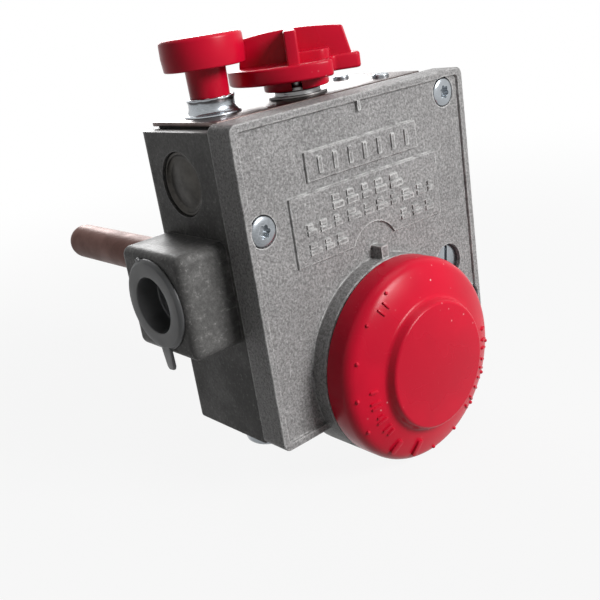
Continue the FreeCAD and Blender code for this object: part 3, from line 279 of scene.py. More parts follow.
def bar(name, length, width, height):
    """A raised mark lying along X on the XZ plane, its front towards -Y: a bar with soft edges, in mm."""
    piece = block(name, (-length / 2, -height, -width / 2), (length / 2, height, width / 2))
    bpy.ops.object.mode_set(mode="EDIT")
    choose(piece, "edges", lambda e: abs(e.verts[0].co.y - e.verts[1].co.y) > 0.5 * height * MM)
    bpy.ops.mesh.bevel(offset=min(length, width) * 0.42 * MM, segments=3, affect="EDGES")
    settle(piece)
    return soften(piece, min(height, width) * 0.28 * MM, 2, 40)


def copy_of(piece, name):
    """A copy with its own mesh."""
    only(piece)
    bpy.ops.object.duplicate()
    copy = bpy.context.object
    copy.name = name
    return copy


def turn_about(piece, axis, angle, centre):
    """Turns a piece about a line through centre, by the right-hand rule."""
    only(piece)
    bpy.ops.object.mode_set(mode="EDIT")
    bpy.ops.mesh.select_all(action="SELECT")
    bpy.ops.transform.rotate(value=-angle, orient_axis=axis, orient_type="GLOBAL", center_override=centre)
    bpy.ops.object.mode_set(mode="OBJECT")


def move(piece, offset):
    only(piece)
    bpy.ops.transform.translate(value=offset)
    settle(piece)


# ---- node groups ----------------------------------------------------------------------------------------

def new_group(name, inputs, outputs):
    """An empty group with number sockets: its inputs with their defaults, and its outputs."""
    group = bpy.data.node_groups.new(name, "ShaderNodeTree")
    for title, value in inputs.items():
        socket = group.interface.new_socket(title, in_out="INPUT", socket_type="NodeSocketFloat")
        socket.default_value = value
    for title in outputs:
        group.interface.new_socket(title, in_out="OUTPUT", socket_type="NodeSocketFloat")
    return group


class Graph:
    """Short ways to add and link nodes in a tree."""

    def __init__(self, tree):
        self.tree = tree
        self.coordinates = None

    def node(self, kind, **settings):
        made = self.tree.nodes.new(kind)
        for key, value in settings.items():
            setattr(made, key, value)
        return made

    def link(self, source, target):
        self.tree.links.new(source, target)

    def feed(self, value, socket):
        """Links a value that is a socket, and sets one that isn't."""
        if hasattr(value, "links"):
            self.link(value, socket)
        else:
            socket.default_value = value

    def object_coordinates(self):
        if self.coordinates is None:
            self.coordinates = self.node("ShaderNodeTexCoord")
        return self.coordinates.outputs["Object"]

    def stretched(self, scale):
        mapping = self.node("ShaderNodeMapping")
        mapping.inputs["Scale"].default_value = scale
        self.link(self.object_coordinates(), mapping.inputs["Vector"])
        return mapping.outputs["Vector"]

    def noise(self, scale, detail=3.0, roughness=0.55, vector=None, distortion=0.0):
        made = self.node("ShaderNodeTexNoise")
        self.link(vector or self.object_coordinates(), made.inputs["Vector"])
        self.feed(scale, made.inputs["Scale"])
        made.inputs["Detail"].default_value = detail
        made.inputs["Roughness"].default_value = roughness
        made.inputs["Distortion"].default_value = distortion
        return made.outputs["Fac"]

    def spots(self, scale):
        made = self.node("ShaderNodeTexVoronoi")
        self.link(self.object_coordinates(), made.inputs["Vector"])
        self.feed(scale, made.inputs["Scale"])
        return made.outputs["Distance"]

    def between(self, value, low, high, to_low=0.0, to_high=1.0):
        made = self.node("ShaderNodeMapRange", interpolation_type="SMOOTHSTEP")
        self.link(value, made.inputs["Value"])
        for title, number in (("From Min", low), ("From Max", high), ("To Min", to_low), ("To Max", to_high)):
            self.feed(number, made.inputs[title])
        return made.outputs["Result"]

    def math(self, operation, a, b):
        made = self.node("ShaderNodeMath", operation=operation)
        self.feed(a, made.inputs[0])
        self.feed(b, made.inputs[1])
        return made.outputs["Value"]

    def mix(self, factor, a, b):
        """Mixes two colours; sockets 0, 6 and 7 are the colour mix's factor, A and B."""
        made = self.node("ShaderNodeMix", data_type="RGBA")
        for socket, value in ((0, factor), (6, a), (7, b)):
            self.feed(value, made.inputs[socket])
        return made.outputs[2]


def grain_group():
    """Cast grain: fine pits, and bright grains that are painted glints, over the metal."""
    group = new_group("Cast Grain", {"Scale": 1400.0, "Cloud": 45.0},
                      ("Height", "Sparkle", "Clouds", "Mottle"))
    g = Graph(group)
    inputs, outputs = g.node("NodeGroupInput"), g.node("NodeGroupOutput")
    fine = g.noise(inputs.outputs["Scale"], 4.0, 0.7)
    cells = g.spots(inputs.outputs["Scale"])
    coarse = g.noise(inputs.outputs["Cloud"], 4.0, 0.6)
    pits = g.between(cells, 0.05, 0.55)
    g.link(g.math("ADD", fine, g.math("MULTIPLY", pits, 0.5)), outputs.inputs["Height"])
    # Painted glint: the brightest grains, used to lighten the colour.
    g.link(g.between(fine, 0.56, 0.72), outputs.inputs["Sparkle"])
    g.link(g.between(coarse, 0.35, 0.68), outputs.inputs["Clouds"])
    sand = g.noise(inputs.outputs["Scale"], 3.0, 0.85, None, 0.4)
    g.link(g.between(sand, 0.55, 0.40), outputs.inputs["Mottle"])
    return group


def wear_and_highlight_group():
    """Edge wear and painted highlight: how far the surface turns within a small radius, broken up by noise.
    """
    group = new_group("Edge Wear", {"Breakup": 300.0}, ("Edge",))
    g = Graph(group)
    inputs, outputs = g.node("NodeGroupInput"), g.node("NodeGroupOutput")
    bevel = g.node("ShaderNodeBevel", samples=4)
    bevel.inputs["Radius"].default_value = 0.9 * MM
    geometry = g.node("ShaderNodeNewGeometry")
    product = g.node("ShaderNodeVectorMath", operation="DOT_PRODUCT")
    g.link(bevel.outputs["Normal"], product.inputs[0])
    g.link(geometry.outputs["Normal"], product.inputs[1])
    turn = g.math("SUBTRACT", 1.0, product.outputs["Value"])
    breakup = g.noise(inputs.outputs["Breakup"], 3.0, 0.6)
    # Edges get brighter colour from this: partly wear, partly painted highlight.
    edge = g.math("MULTIPLY", g.between(turn, 0.01, 0.16), g.between(breakup, 0.30, 0.62))
    g.link(edge, outputs.inputs["Edge"])
    return group


def dust_group():
    """Dust and specks: small pale flecks and long faint scratches."""
    group = new_group("Dust And Scratches", {"Speck Scale": 420.0}, ("Specks", "Scratches"))
    g = Graph(group)
    inputs, outputs = g.node("NodeGroupInput"), g.node("NodeGroupOutput")
    cells = g.spots(inputs.outputs["Speck Scale"])
    few = g.noise(60.0, 2.0, 0.5)
    near = g.between(cells, 0.16, 0.05)
    g.link(g.math("MULTIPLY", near, g.between(few, 0.56, 0.66)), outputs.inputs["Specks"])
    streak = g.noise(90.0, 3.0, 0.7, g.stretched((1.0, 9.0, 9.0)), 0.6)
    other = g.noise(90.0, 3.0, 0.7, g.stretched((9.0, 9.0, 1.2)), 0.6)
    lines = g.math("MAXIMUM", g.between(streak, 0.66, 0.72), g.between(other, 0.67, 0.73))
    g.link(lines, outputs.inputs["Scratches"])
    return group


class Finishes:
    """The materials, each made once and kept by name."""

    def __init__(self):
        self.groups = {"grain": grain_group(), "wear": wear_and_highlight_group(), "dust": dust_group()}
        self.made = {}

    def start(self, name):
        material = bpy.data.materials.new(name)
        material.use_nodes = True
        material.node_tree.nodes.clear()
        g = Graph(material.node_tree)
        out = g.node("ShaderNodeOutputMaterial")
        shader = g.node("ShaderNodeBsdfPrincipled")
        g.link(shader.outputs["BSDF"], out.inputs["Surface"])
        self.made[name] = material
        return g, shader

    def place(self, g, name, **values):
        made = g.node("ShaderNodeGroup", node_tree=self.groups[name])
        for key, value in values.items():
            made.inputs[key.replace("_", " ").title()].default_value = value
        return made.outputs

    def bump(self, g, shader, height, strength, distance):
        made = g.node("ShaderNodeBump")
        made.inputs["Strength"].default_value = strength
        made.inputs["Distance"].default_value = distance
        g.link(height, made.inputs["Height"])
        g.link(made.outputs["Normal"], shader.inputs["Normal"])


finishes = None


def rgba(colour, factor=1.0):
    return (colour[0] * factor, colour[1] * factor, colour[2] * factor, 1.0)


def cast_metal(name, colour, metallic, roughness, scale, grain_depth, cloud, stain, mottle, edge):
    """Die-cast metal: sandy grain in its colour and surface, painted shade in its pits, bright grains as
    painted glints, cloudy stains, and bright edges that are partly worn and partly painted highlight.
    """
    g, shader = finishes.start(name)
    grain = finishes.place(g, "grain", scale=scale, cloud=cloud)
    wear = finishes.place(g, "wear", breakup=260.0)
    dust = finishes.place(g, "dust", speck_scale=500.0)
    base = g.mix(grain["Clouds"], rgba(colour, stain), rgba(colour))
    sandy = g.mix(g.math("MULTIPLY", grain["Mottle"], mottle), base, rgba(colour, 0.38))
    # Painted glints: bright grains lighten the colour.
    with_painted_glints = g.mix(g.math("MULTIPLY", grain["Sparkle"], 0.6), sandy, rgba(colour, 1.8))
    # Painted shade: the grain's low places are darkened in colour.
    pits = g.between(grain["Height"], 0.42, 0.72)
    shaded = g.mix(pits, g.mix(0.5, with_painted_glints, rgba(colour, 0.45)), with_painted_glints)
    # Bright edges, partly wear and partly painted highlight.
    worn_and_highlit = g.mix(g.math("MULTIPLY", wear["Edge"], 0.85), shaded, rgba(edge))
    scratched = g.mix(g.math("MULTIPLY", dust["Scratches"], 0.25), worn_and_highlit, rgba(colour, 2.1))
    g.link(scratched, shader.inputs["Base Color"])
    shader.inputs["Metallic"].default_value = metallic
    shader.inputs["Specular IOR Level"].default_value = 0.12
    rough = g.between(grain["Clouds"], 0.0, 1.0, roughness + 0.08, roughness - 0.05)
    g.link(g.math("SUBTRACT", rough, g.math("MULTIPLY", wear["Edge"], 0.12)), shader.inputs["Roughness"])
    finishes.bump(g, shader, grain["Height"], grain_depth, 0.12 * MM)


def moulded_plastic(name, colour):
    """Moulded red plastic: clear gloss, faint flow marks, pale specks and lighter edges, partly rubbed and
    partly painted highlight.
    """
    g, shader = finishes.start(name)
    dust = finishes.place(g, "dust", speck_scale=380.0)
    wear = finishes.place(g, "wear", breakup=420.0)
    flow = g.noise(32.0, 3.0, 0.5)
    ripple = g.noise(700.0, 2.0, 0.5)
    base = g.mix(g.between(flow, 0.3, 0.7), rgba(colour, 0.86), rgba(colour, 1.08))
    # Lighter red on the edges: partly rubbed wear, partly painted highlight.
    rubbed_and_highlit = g.mix(g.math("MULTIPLY", wear["Edge"], 0.22), base, (0.70, 0.07, 0.11, 1))
    specked = g.mix(g.math("MULTIPLY", dust["Specks"], 0.7), rubbed_and_highlit, (0.85, 0.55, 0.55, 1))
    g.link(specked, shader.inputs["Base Color"])
    rough = g.math("ADD", g.between(flow, 0.3, 0.7, 0.26, 0.34), g.math("MULTIPLY", dust["Scratches"], 0.12))
    g.link(rough, shader.inputs["Roughness"])
    shader.inputs["Specular IOR Level"].default_value = 0.16
    height = g.math("ADD", g.math("MULTIPLY", ripple, 0.3), g.math("MULTIPLY", dust["Specks"], 0.8))
    finishes.bump(g, shader, height, 0.12, 0.1 * MM)


def plated_metal(name, colour, roughness, stretch, streak, dull, metallic=1.0):
    """Plated, drawn or turned metal: fine tool lines, soft clouding and bright edges, partly worn and partly
    painted highlight.
    """
    g, shader = finishes.start(name)
    wear = finishes.place(g, "wear", breakup=500.0)
    lines = g.noise(900.0, 3.0, 0.6, g.stretched(stretch))
    clouds = g.noise(75.0, 4.0, 0.6)
    base = g.mix(g.between(clouds, 0.36, 0.66), rgba(colour, dull), rgba(colour))
    lined = g.mix(g.math("MULTIPLY", g.between(lines, 0.35, 0.65), streak), base, rgba(colour, 1.25))
    # Brighter edges: partly wear, partly painted highlight.
    worn_and_highlit = g.mix(g.math("MULTIPLY", wear["Edge"], 0.4), lined, rgba(colour, 1.6))
    g.link(worn_and_highlit, shader.inputs["Base Color"])
    shader.inputs["Metallic"].default_value = metallic
    shader.inputs["Specular IOR Level"].default_value = 0.1
    g.link(g.between(clouds, 0.3, 0.7, roughness + 0.1, roughness - 0.04), shader.inputs["Roughness"])
    height = g.math("ADD", g.math("MULTIPLY", lines, 0.6), g.math("MULTIPLY", clouds, 0.7))
    finishes.bump(g, shader, height, 0.25, 0.05 * MM)


def clear_plastic(name, colour):
    """Soft see-through plastic with haze and flow marks."""
    g, shader = finishes.start(name)
    haze = g.noise(160.0, 3.0, 0.6)
    flow = g.noise(40.0, 2.0, 0.5, None, 1.2)
    clouded = g.mix(g.between(flow, 0.35, 0.65), rgba(colour, 0.85), rgba(colour, 1.1))
    g.link(clouded, shader.inputs["Base Color"])
    g.link(g.between(haze, 0.3, 0.7, 0.28, 0.44), shader.inputs["Roughness"])
    shader.inputs["Transmission Weight"].default_value = 0.55
    shader.inputs["IOR"].default_value = 1.45
    finishes.bump(g, shader, haze, 0.12, 0.08 * MM)


def soft_sheet(name, colour, roughness):
    """Rubber and gasket sheet: matt, with a fine pebble that is paler on its high points."""
    g, shader = finishes.start(name)
    pebble = g.noise(1500.0, 3.0, 0.6)
    clouds = g.noise(90.0, 3.0, 0.6)
    base = g.mix(g.between(clouds, 0.35, 0.7), rgba(colour), rgba(colour, 1.7))
    # Paler colour on the pebble's high points.
    g.link(g.mix(g.math("MULTIPLY", g.between(pebble, 0.5, 0.7), 0.3), base, rgba(colour, 2.4)),
           shader.inputs["Base Color"])
    g.link(g.between(pebble, 0.3, 0.7, roughness - 0.08, roughness + 0.08), shader.inputs["Roughness"])
    finishes.bump(g, shader, pebble, 0.3, 0.05 * MM)


def make_materials(settings):
    """Every finish on the valve, one to each of the record's material slots."""
    # edge is the colour of the bright edges, partly wear and partly painted highlight.
    cast_metal("body_casting", settings.body_colour, metallic=0.04, roughness=0.46, scale=900.0,
               grain_depth=0.45, cloud=38.0, stain=0.55, mottle=0.5, edge=(0.42, 0.41, 0.40))
    cast_metal("cover_casting", settings.cover_colour, metallic=0.08, roughness=0.48, scale=1300.0,
               grain_depth=1.0, cloud=50.0, stain=0.86, mottle=0.75, edge=(0.80, 0.80, 0.79))
    moulded_plastic("red_plastic", settings.plastic_colour)
    plated_metal("zinc_steel", (0.38, 0.405, 0.43), 0.24, (1.0, 1.0, 6.0), 0.35, 0.55)
    plated_metal("plate_steel", (0.120, 0.090, 0.084), 0.30, (1.0, 8.0, 8.0), 0.5, 0.5)
    plated_metal("cup_steel", (0.050, 0.047, 0.043), 0.36, (1.0, 1.0, 1.0), 0.3, 0.5)
    plated_metal("machined_steel", (0.30, 0.30, 0.30), 0.28, (1.0, 1.0, 14.0), 0.5, 0.8)
    plated_metal("spring_steel", (0.24, 0.235, 0.23), 0.30, (3.0, 3.0, 3.0), 0.3, 0.7)
    plated_metal("brass", (0.62, 0.42, 0.16), 0.28, (1.0, 1.0, 10.0), 0.4, 0.7)
    plated_metal("copper", settings.copper_colour, 0.40, (9.0, 1.0, 9.0), 0.35, 0.62, 0.35)
    clear_plastic("plug_plastic", settings.plug_colour)
    soft_sheet("seal_rubber", (0.018, 0.018, 0.018), 0.6)
    soft_sheet("gasket_sheet", (0.035, 0.034, 0.032), 0.8)


# ---- settings -------------------------------------------------------------------------------------------

def colour_setting(name, description, default):
    return bpy.props.FloatVectorProperty(name=name, description=description, default=default, subtype="COLOR",
                                         min=0, max=1)


def size_setting(name, description, default, low, high):
    return bpy.props.FloatProperty(name=name, description=description, default=default, min=low, max=high)


class FinishSettings(bpy.types.PropertyGroup):
    """Colours of the valve's finishes."""
    plastic_colour: colour_setting("Knob colour", "Red plastic of the dial, the knob and the button",
                                   (0.53, 0.0035, 0.024))
    cover_colour: colour_setting("Cover colour", "Light grey cast cover", (0.315, 0.309, 0.307))
    body_colour: colour_setting("Body colour", "Darker cast body", (0.165, 0.162, 0.158))
    copper_colour: colour_setting("Tube colour", "Copper sensing tube", (0.125, 0.040, 0.025))
    plug_colour: colour_setting("Dust plug colour", "See-through dust plug", (0.14, 0.143, 0.148))


class DialSettings(bpy.types.PropertyGroup):
    """Sizes of the temperature dial, in mm."""
    radius: size_setting("Radius", "Outer radius of the dial", 32.35, 10, 60)
    plateau: size_setting("Centre radius", "Radius of the raised flat centre", 19.75, 5, 40)
    wall: size_setting("Wall", "Thickness of the skirt", 2.4, 0.5, 6)
    dots: bpy.props.IntProperty(name="Dots a side", description="Dots on each side of the bars", default=5,
                                min=0)


class KnobSettings(bpy.types.PropertyGroup):
    """Sizes of the gas knob, in mm, and how it stands."""
    radius: size_setting("Disc radius", "Radius of the disc", 20.7, 8, 30)
    stand: size_setting("Stand", "How far the grip stands turned, in degrees", -40.0, -180, 180)
    grip: size_setting("Grip thickness", "Thickness of the grip", 3.6, 1, 8)


class ProbeSettings(bpy.types.PropertyGroup):
    """Sizes of the probe, in mm."""
    tube: size_setting("Tube radius", "Outer radius of the tube", 8.0, 2, 20)
    tube_wall: size_setting("Tube wall", "Wall of the tube", 1.0, 0.3, 3)
    pitch: size_setting("Thread pitch", "Pitch of the tank thread", 1.81, 0.8, 4)


class ButtonSettings(bpy.types.PropertyGroup):
    """Sizes of the reset button, in mm."""
    stem: size_setting("Stem radius", "Radius of the stem", 5.9, 1, 12)
    edge: size_setting("Edge rounding", "Rounding of the cap's top", 1.3, 0.1, 4)


# ---- pieces ---------------------------------------------------------------------------------------------

def dial_marks(settings, face_at):
    """The raised marks: dots near the edge, two thick bars, and two runs of plain strokes."""
    dial_z = DIAL_AXIS.z / MM
    marks = []

    def lay(piece, radius, angle, slope=True):
        """Sets a mark that lies on the XZ plane at its place on the sloping face."""
        if slope:
            turn_about(piece, "Z", face_at.slope, (0, 0, 0))
        move(piece, (radius * MM, face_at(radius) * MM, 0))
        turn_about(piece, "Y", -radians(angle), (0, 0, 0))
        move(piece, (0, 0, dial_z * MM))
        marks.append(piece)

    edge = settings.radius - DOT_INSET
    dots = [116 + 22 * i for i in range(settings.dots)] + [269 + 20.6 * i for i in range(settings.dots)]
    for index, angle in enumerate(dots):
        bpy.ops.object.select_all(action="DESELECT")
        bpy.ops.mesh.primitive_uv_sphere_add(segments=16, ring_count=8, radius=DOT_RADIUS * MM)
        dot = bpy.context.object
        dot.name = f"dot_{index}"
        lay(dot, edge, angle, slope=False)
    for angle, length in ((230, 5.2), (250, 6.2)):
        lay(bar("thick_bar", length, 2.1, 0.75), edge - length / 2 + 0.4, angle)
    run_left = [(179, 2.6), (187, 3.4), (191, 3.4), (199, 2.2), (203, 3.6), (211, 3.4), (216, 2.8)]
    for angle, length in run_left:
        lay(bar("stroke", length, 0.8, 0.5), settings.radius - 7.4, angle)
    run_right = [(2, 2.4), (354, 3.0), (348, 3.0), (340, 2.0), (334, 3.0), (327, 2.4), (320, 3.0), (312, 3.0),
                 (305, 2.2)]
    for angle, length in run_right:
        lay(bar("stroke", length, 0.8, 0.5), settings.radius - 5.0, angle)
    for angle in (121.5, 127.0):
        lay(bar("tick", 3.0, 0.7, 0.45), settings.radius - 4.4, angle)
    return marks


class SlopingFace:
    """The height of the dial's face at a radius: a shallow crowned cone between the step and the shoulder."""

    def __init__(self, step_radius, step_y, shoulder_radius, shoulder_y):
        self.low, self.high = (step_radius, step_y), (shoulder_radius, shoulder_y)
        self.slope = atan2(shoulder_y - step_y, shoulder_radius - step_radius)

    def __call__(self, radius):
        share = (radius - self.low[0]) / (self.high[0] - self.low[0])
        crown = 0.55 * sin(pi * min(max(share, 0), 1))
        return self.low[1] + share * (self.high[1] - self.low[1]) - crown


def build_dial(settings):
    front, rear = span("temperature_dial", "y")[0], span("front_cover", "y")[0] - 0.6
    shoulder, step = front + 7.45, front + 3.15
    face_at = SlopingFace(settings.plateau + 0.9, step, settings.radius, shoulder)
    inner = settings.radius - settings.wall
    mid = (settings.plateau + settings.radius) / 2
    profile = [(0, front, 0), (settings.plateau, front, 0.8), (settings.plateau + 0.9, step, 0.9)]
    profile += [(r, face_at(r), 0) for r in (mid - 3, mid, mid + 3)]
    profile += [(settings.radius, shoulder, 2.6), (settings.radius, rear, 0.35), (inner, rear, 0.35),
                (inner, shoulder + 2.0, 1.0), (7.0, shoulder + 2.0, 0.8), (7.0, rear, 0.3), (4.1, rear, 0),
                (4.1, step + 2.0, 0), (0, step + 2.0, 0)]
    dial = turned("dial_shell", profile, "y", DIAL_AXIS, steps=160, rounding=5)
    combine(dial, dial_marks(settings, face_at))
    finish(dial, "dial", "temperature_dial", "red_plastic")


def build_button(settings):
    base, top = span("pilot_button", "z")
    radius = half_span("pilot_button", "x")
    under = top - CAP_HEIGHT
    profile = [(0, top - 0.25, 0), (radius * 0.55, top - 0.12, 0), (radius - 0.15, top, settings.edge),
               (radius, under + 4, 0), (radius - 0.35, under, 0.45), (radius - 1.8, under, 0.2),
               (radius - 1.9, under + 1.2, 0), (settings.stem + 0.2, under + 1.2, 0.6),
               (settings.stem, base, 0.3), (2.5, base, 0), (2.5, base + 6, 0), (0, base + 6, 0)]
    cap = turned("button_cap", profile, "z", BUTTON_AXIS, steps=96, rounding=5)
    finish(cap, "button", "pilot_button", "red_plastic")


def build_ferrule():
    """The swaged collar: a spun sleeve whose lip is pinched in all round by the press."""
    base, top = span("button_ferrule", "z")
    foot = half_span("button_ferrule", "x")
    profile = [(foot - 2.2, base, 0), (foot, base, 0.2), (foot - 0.1, base + 0.5, 0.2),
               (foot - 1.0, base + 0.95, 0.5), (foot - 1.6, base + 1.9, 0.8), (foot - 1.7, top - 1.2, 0.5),
               (foot - 1.3, top - 0.5, 0.3), (foot - 1.5, top, 0.2), (foot - 2.3, top - 0.1, 0.2),
               (foot - 2.3, base + 0.2, 0)]
    profile.append(profile[0])
    ring = turned("ferrule", profile, "z", BUTTON_AXIS, steps=120, rounding=3)
    only(ring)
    for vertex in ring.data.vertices:
        offset = vertex.co - BUTTON_AXIS
        angle = atan2(offset.y, offset.x)
        height = (vertex.co.z / MM - base) / (top - base)
        pinch = sin(9 * angle) * 0.5 + sin(14 * angle + 1.3) * 0.3 + sin(23 * angle + 0.4) * 0.2
        if height > 0.55 and hypot(offset.x, offset.y) / MM > foot - 2.2:
            vertex.co.z += pinch * 0.16 * MM * height - 0.12 * MM
            vertex.co.x += cos(angle) * pinch * 0.10 * MM
            vertex.co.y += sin(angle) * pinch * 0.10 * MM
    finish(ring, "housing", "button_ferrule", "zinc_steel", 45)


def build_knob(settings):
    """The gas knob: split hub, a disc cut away in front of its tab, a crowned grip, cross rib and ledge."""
    x, y = KNOB_AXIS.x / MM, KNOB_AXIS.y / MM
    base, top = span("gas_knob", "z")
    disc_low, disc_top = base + HUB_HEIGHT, base + HUB_HEIGHT + DISC_THICKNESS
    step, front, radius = 11.3, -2.6, settings.radius       # the disc is cut away right of step, before front
    tab = degrees(asin(front / radius))
    outline = arc((0, 0), radius, tab + 4, 360 - degrees(acos(step / radius)) - 3, 90)
    outline += [(step - 0.25, -17.1), (step, -16.3), (step, front - 2.2)]
    outline += arc((step + 2.2, front - 2.2), 2.2, 180, 90, 8)
    outline += [(radius - 1.4, front), (radius - 0.5, front + 0.5)]
    disc = prism("knob", [(x + px, y + py) for px, py in outline], "xy", disc_low, disc_top)
    soften(disc, 0.8 * MM, 4, 50)
    hub = turned("hub", [(0, disc_low + 1, 0), (10.25, disc_low + 1, 0), (10.25, base, 0.4), (7.7, base, 0.2),
                         (7.7, base + 1.3, 0), (0, base + 1.3, 0)], "z", KNOB_AXIS, 128, 4)
    half = settings.grip / 2
    foot = disc_top - 0.9
    along = (-15.1, -12, -9, -6, -3, 0, 3, 6, 9, 12, 14.5, 16.4)
    crown = [(px, disc_top + GRIP_HEIGHT - 1.3 * (px / 16.0) ** 2) for px in along]
    side = [(-17.1, foot)] + crown + [(18.4, foot)]
    grip = prism("grip", [(x + px, pz) for px, pz in side], "xz", y - half, y + half)
    soften(grip, 0.55 * MM, 3, 40)
    rib = soften(block("rib", (x - 1.85, y - 18.8, disc_top - 0.7), (x + 1.85, y, top - 0.15)), 0.55 * MM, 3)
    shelf = [(x, y), (x, y - 10.6), (x + step - 4, y - 10.6)] + arc((x + step - 4, y - 6.6), 4.0, -80, 0, 8)
    shelf += [(x + step, y)]
    ledge = soften(prism("ledge", shelf, "xy", disc_top - 0.5, disc_top + 2.7), 0.45 * MM, 3, 50)
    combine(disc, [hub, grip, rib, ledge])
    slit = block("slit", (x - 1.6, y - 12, base - 1), (x + 1.6, y, disc_low - 0.02))
    hole_top = disc_top - 1.0
    stem = turned("stem_hole", [(0, base, 0), (3.6, base, 0), (3.6, hole_top, 0), (0, hole_top, 0)], "z",
                  KNOB_AXIS, 64)
    combine(disc, [slit], "DIFFERENCE")
    combine(disc, [stem], "DIFFERENCE")
    turn_about(disc, "Z", radians(settings.stand), KNOB_AXIS)
    finish(disc, "gas_cock", "gas_knob", "red_plastic", 38)


def build_dust_plug():
    """The soft plug in the inlet: a bevelled flange, a thin barrel, a pull tab and a moulding nib."""
    left, right = span("inlet_dust_plug", "x")
    centre = Vector((0, -19.2 * MM, 19.0 * MM))
    y, z = centre.y / MM, centre.z / MM
    cup = [(8.6, left + 0.25, 0), (8.75, left, 0.2), (12.9, left, 0.3), (13.85, left + 0.8, 0.3),
           (13.85, left + 1.4, 0.15), (10.6, left + 1.4, 0.1), (10.45, right, 0.3), (0, right, 0),
           (0, right - 1.3, 0), (8.3, right - 1.3, 0.5), (8.6, left + 0.25, 0)]
    plug = turned("dust_plug", cup, "x", centre, 128, 3)
    tab = prism("tab", [(y - 2.45, z - 12.2), (y - 1.95, z - 19.0), (y - 1.2, z - 20.1), (y + 1.2, z - 20.1),
                        (y + 1.95, z - 19.0), (y + 2.45, z - 12.2)], "yz", left + 0.1, left + 1.1)
    turn_about(tab, "X", -radians(7), centre)
    soften(tab, 0.3 * MM, 2)
    nib = block("nib", (left + 0.3, y - 0.8, z + 13.0), (left + 1.35, y + 0.8, z + 14.6))
    turn_about(nib, "X", -radians(20), centre)
    soften(nib, 0.25 * MM, 2)
    combine(plug, [tab, nib])
    finish(plug, "dust_plug", "inlet_dust_plug", "plug_plastic")


def build_cover_screws():
    """Four pan-head screws with six-lobed sockets."""
    front, rear = span("cover_screws", "y")
    seat = front + 1.7
    head, lobe_circle = 4.5, 1.5
    first_at = Vector((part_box("cover_screws")[0].x + head * MM, 0, 37.2 * MM))
    profile = [(0, front + 0.05, 0), (3.0, front + 0.05, 0), (head - 0.05, front + 0.45, 0.5),
               (head, seat, 0.12), (2.4, seat, 0), (2.4, rear, 0.3), (0, rear, 0)]
    screw = turned("cover_screw_1", profile, "y", first_at, 64, 4)
    lobes = []
    for index in range(6):
        angle = radians(60 * index)
        place = (first_at.x + lobe_circle * MM * cos(angle), front * MM,
                 first_at.z + lobe_circle * MM * sin(angle))
        lobes.append(rod("lobe", 20, 0.62, 3.0, place, (radians(90), 0, 0)))
    socket = rod("socket", 48, 1.62, 3.0, (first_at.x, front * MM, first_at.z), (radians(90), 0, 0))
    combine(screw, [socket] + lobes, "DIFFERENCE")
    others = [(38.625, 60.8), (41.525, -10.5), (-21.0, -15.0)]
    copies = [copy_of(screw, f"cover_screw_{index + 2}") for index in range(3)]
    for piece, (x, z), turn in zip(copies, others, (17, 41, 8)):
        turn_about(piece, "Y", radians(turn), first_at)
        move(piece, (x * MM - first_at.x, 0, z * MM - first_at.z))
    for piece in [screw] + copies:
        finish(piece, "housing", "cover_screws", "zinc_steel")


def build_side_plug():
    """The pressed cup plug: a low dome inside a round rim."""
    centre, radius = middle("side_plug"), half_span("side_plug", "z")
    face, rear = span("side_plug", "x")
    profile = [(0, face + 0.25, 0), (3.5, face + 0.42, 0), (6.2, face + 0.8, 0),
               (radius - 1.7, face + 1.15, 0.8), (radius - 1.2, face + 0.5, 0.5),
               (radius - 0.9, face + 0.05, 0.3), (radius, face + 0.15, 0.3), (radius, rear, 0.1),
               (radius - 0.9, rear, 0.1), (radius - 1.0, face + 2.1, 0.5), (0, face + 1.4, 0)]
    plug = turned("side_plug_cup", profile, "x", centre, 96, 4)
    finish(plug, "housing", "side_plug", "cup_steel")


def build_regulator_cap():
    """The bright cap with a wide slot."""
    centre, radius = middle("regulator_cap"), half_span("regulator_cap", "x")
    front, rear = span("regulator_cap", "y")
    profile = [(0, front + 0.05, 0), (radius - 1.2, front, 0), (radius, front + 0.3, 0.35),
               (radius, rear, 0.1), (0, rear, 0)]
    cap = turned("regulator_plug", profile, "y", centre, 96, 4)
    x, z = centre.x / MM, centre.z / MM
    slot = block("slot", (x - 0.65, front - 1, z - radius - 1), (x + 0.65, front + 1.5, z + radius + 1))
    turn_about(slot, "Y", radians(8), centre)
    combine(cap, [slot], "DIFFERENCE")
    soften(cap, 0.12 * MM, 2, 50)
    finish(cap, "housing", "regulator_cap", "zinc_steel")


def build_top_plate():
    """The thin plate over the body, with rounded edges and its four holes."""
    (x0, x1), (y0, y1), (z0, z1) = (span("top_plate", axis) for axis in "xyz")
    plate = prism("cap_plate", rounded((x0, y0), (x1, y1), 1.5), "xy", z0, z1)
    soften(plate, 0.22 * MM, 3, 50)
    holes = []
    button = (BUTTON_AXIS.x / MM, BUTTON_AXIS.y / MM, 6.5)
    knob = (KNOB_AXIS.x / MM, KNOB_AXIS.y / MM, 7.35)
    for x, y, radius in (button, knob, (30.725, -8.0, 1.55), (30.725, -27.0, 1.55)):
        holes.append(rod("hole", 64, radius, 6, (x * MM, y * MM, z1 * MM)))
    combine(plate, holes, "DIFFERENCE")
    finish(plate, "housing", "top_plate", "plate_steel")


def build_bushing():
    """The turned collar under the knob."""
    foot, top = span("stem_bushing", "z")
    profile = [(3.72, foot, 0), (10.4, foot, 0), (10.4, foot + 2, 0), (7.28, foot + 2, 0),
               (7.28, top - 1.5, 0.2), (7.05, top - 1.3, 0.1), (7.05, top, 0.5), (4.2, top, 0.3),
               (3.72, top - 0.5, 0), (3.72, foot, 0)]
    collar = turned("knob_collar", profile, "z", middle("stem_bushing"), 96, 3)
    finish(collar, "housing", "stem_bushing", "machined_steel")


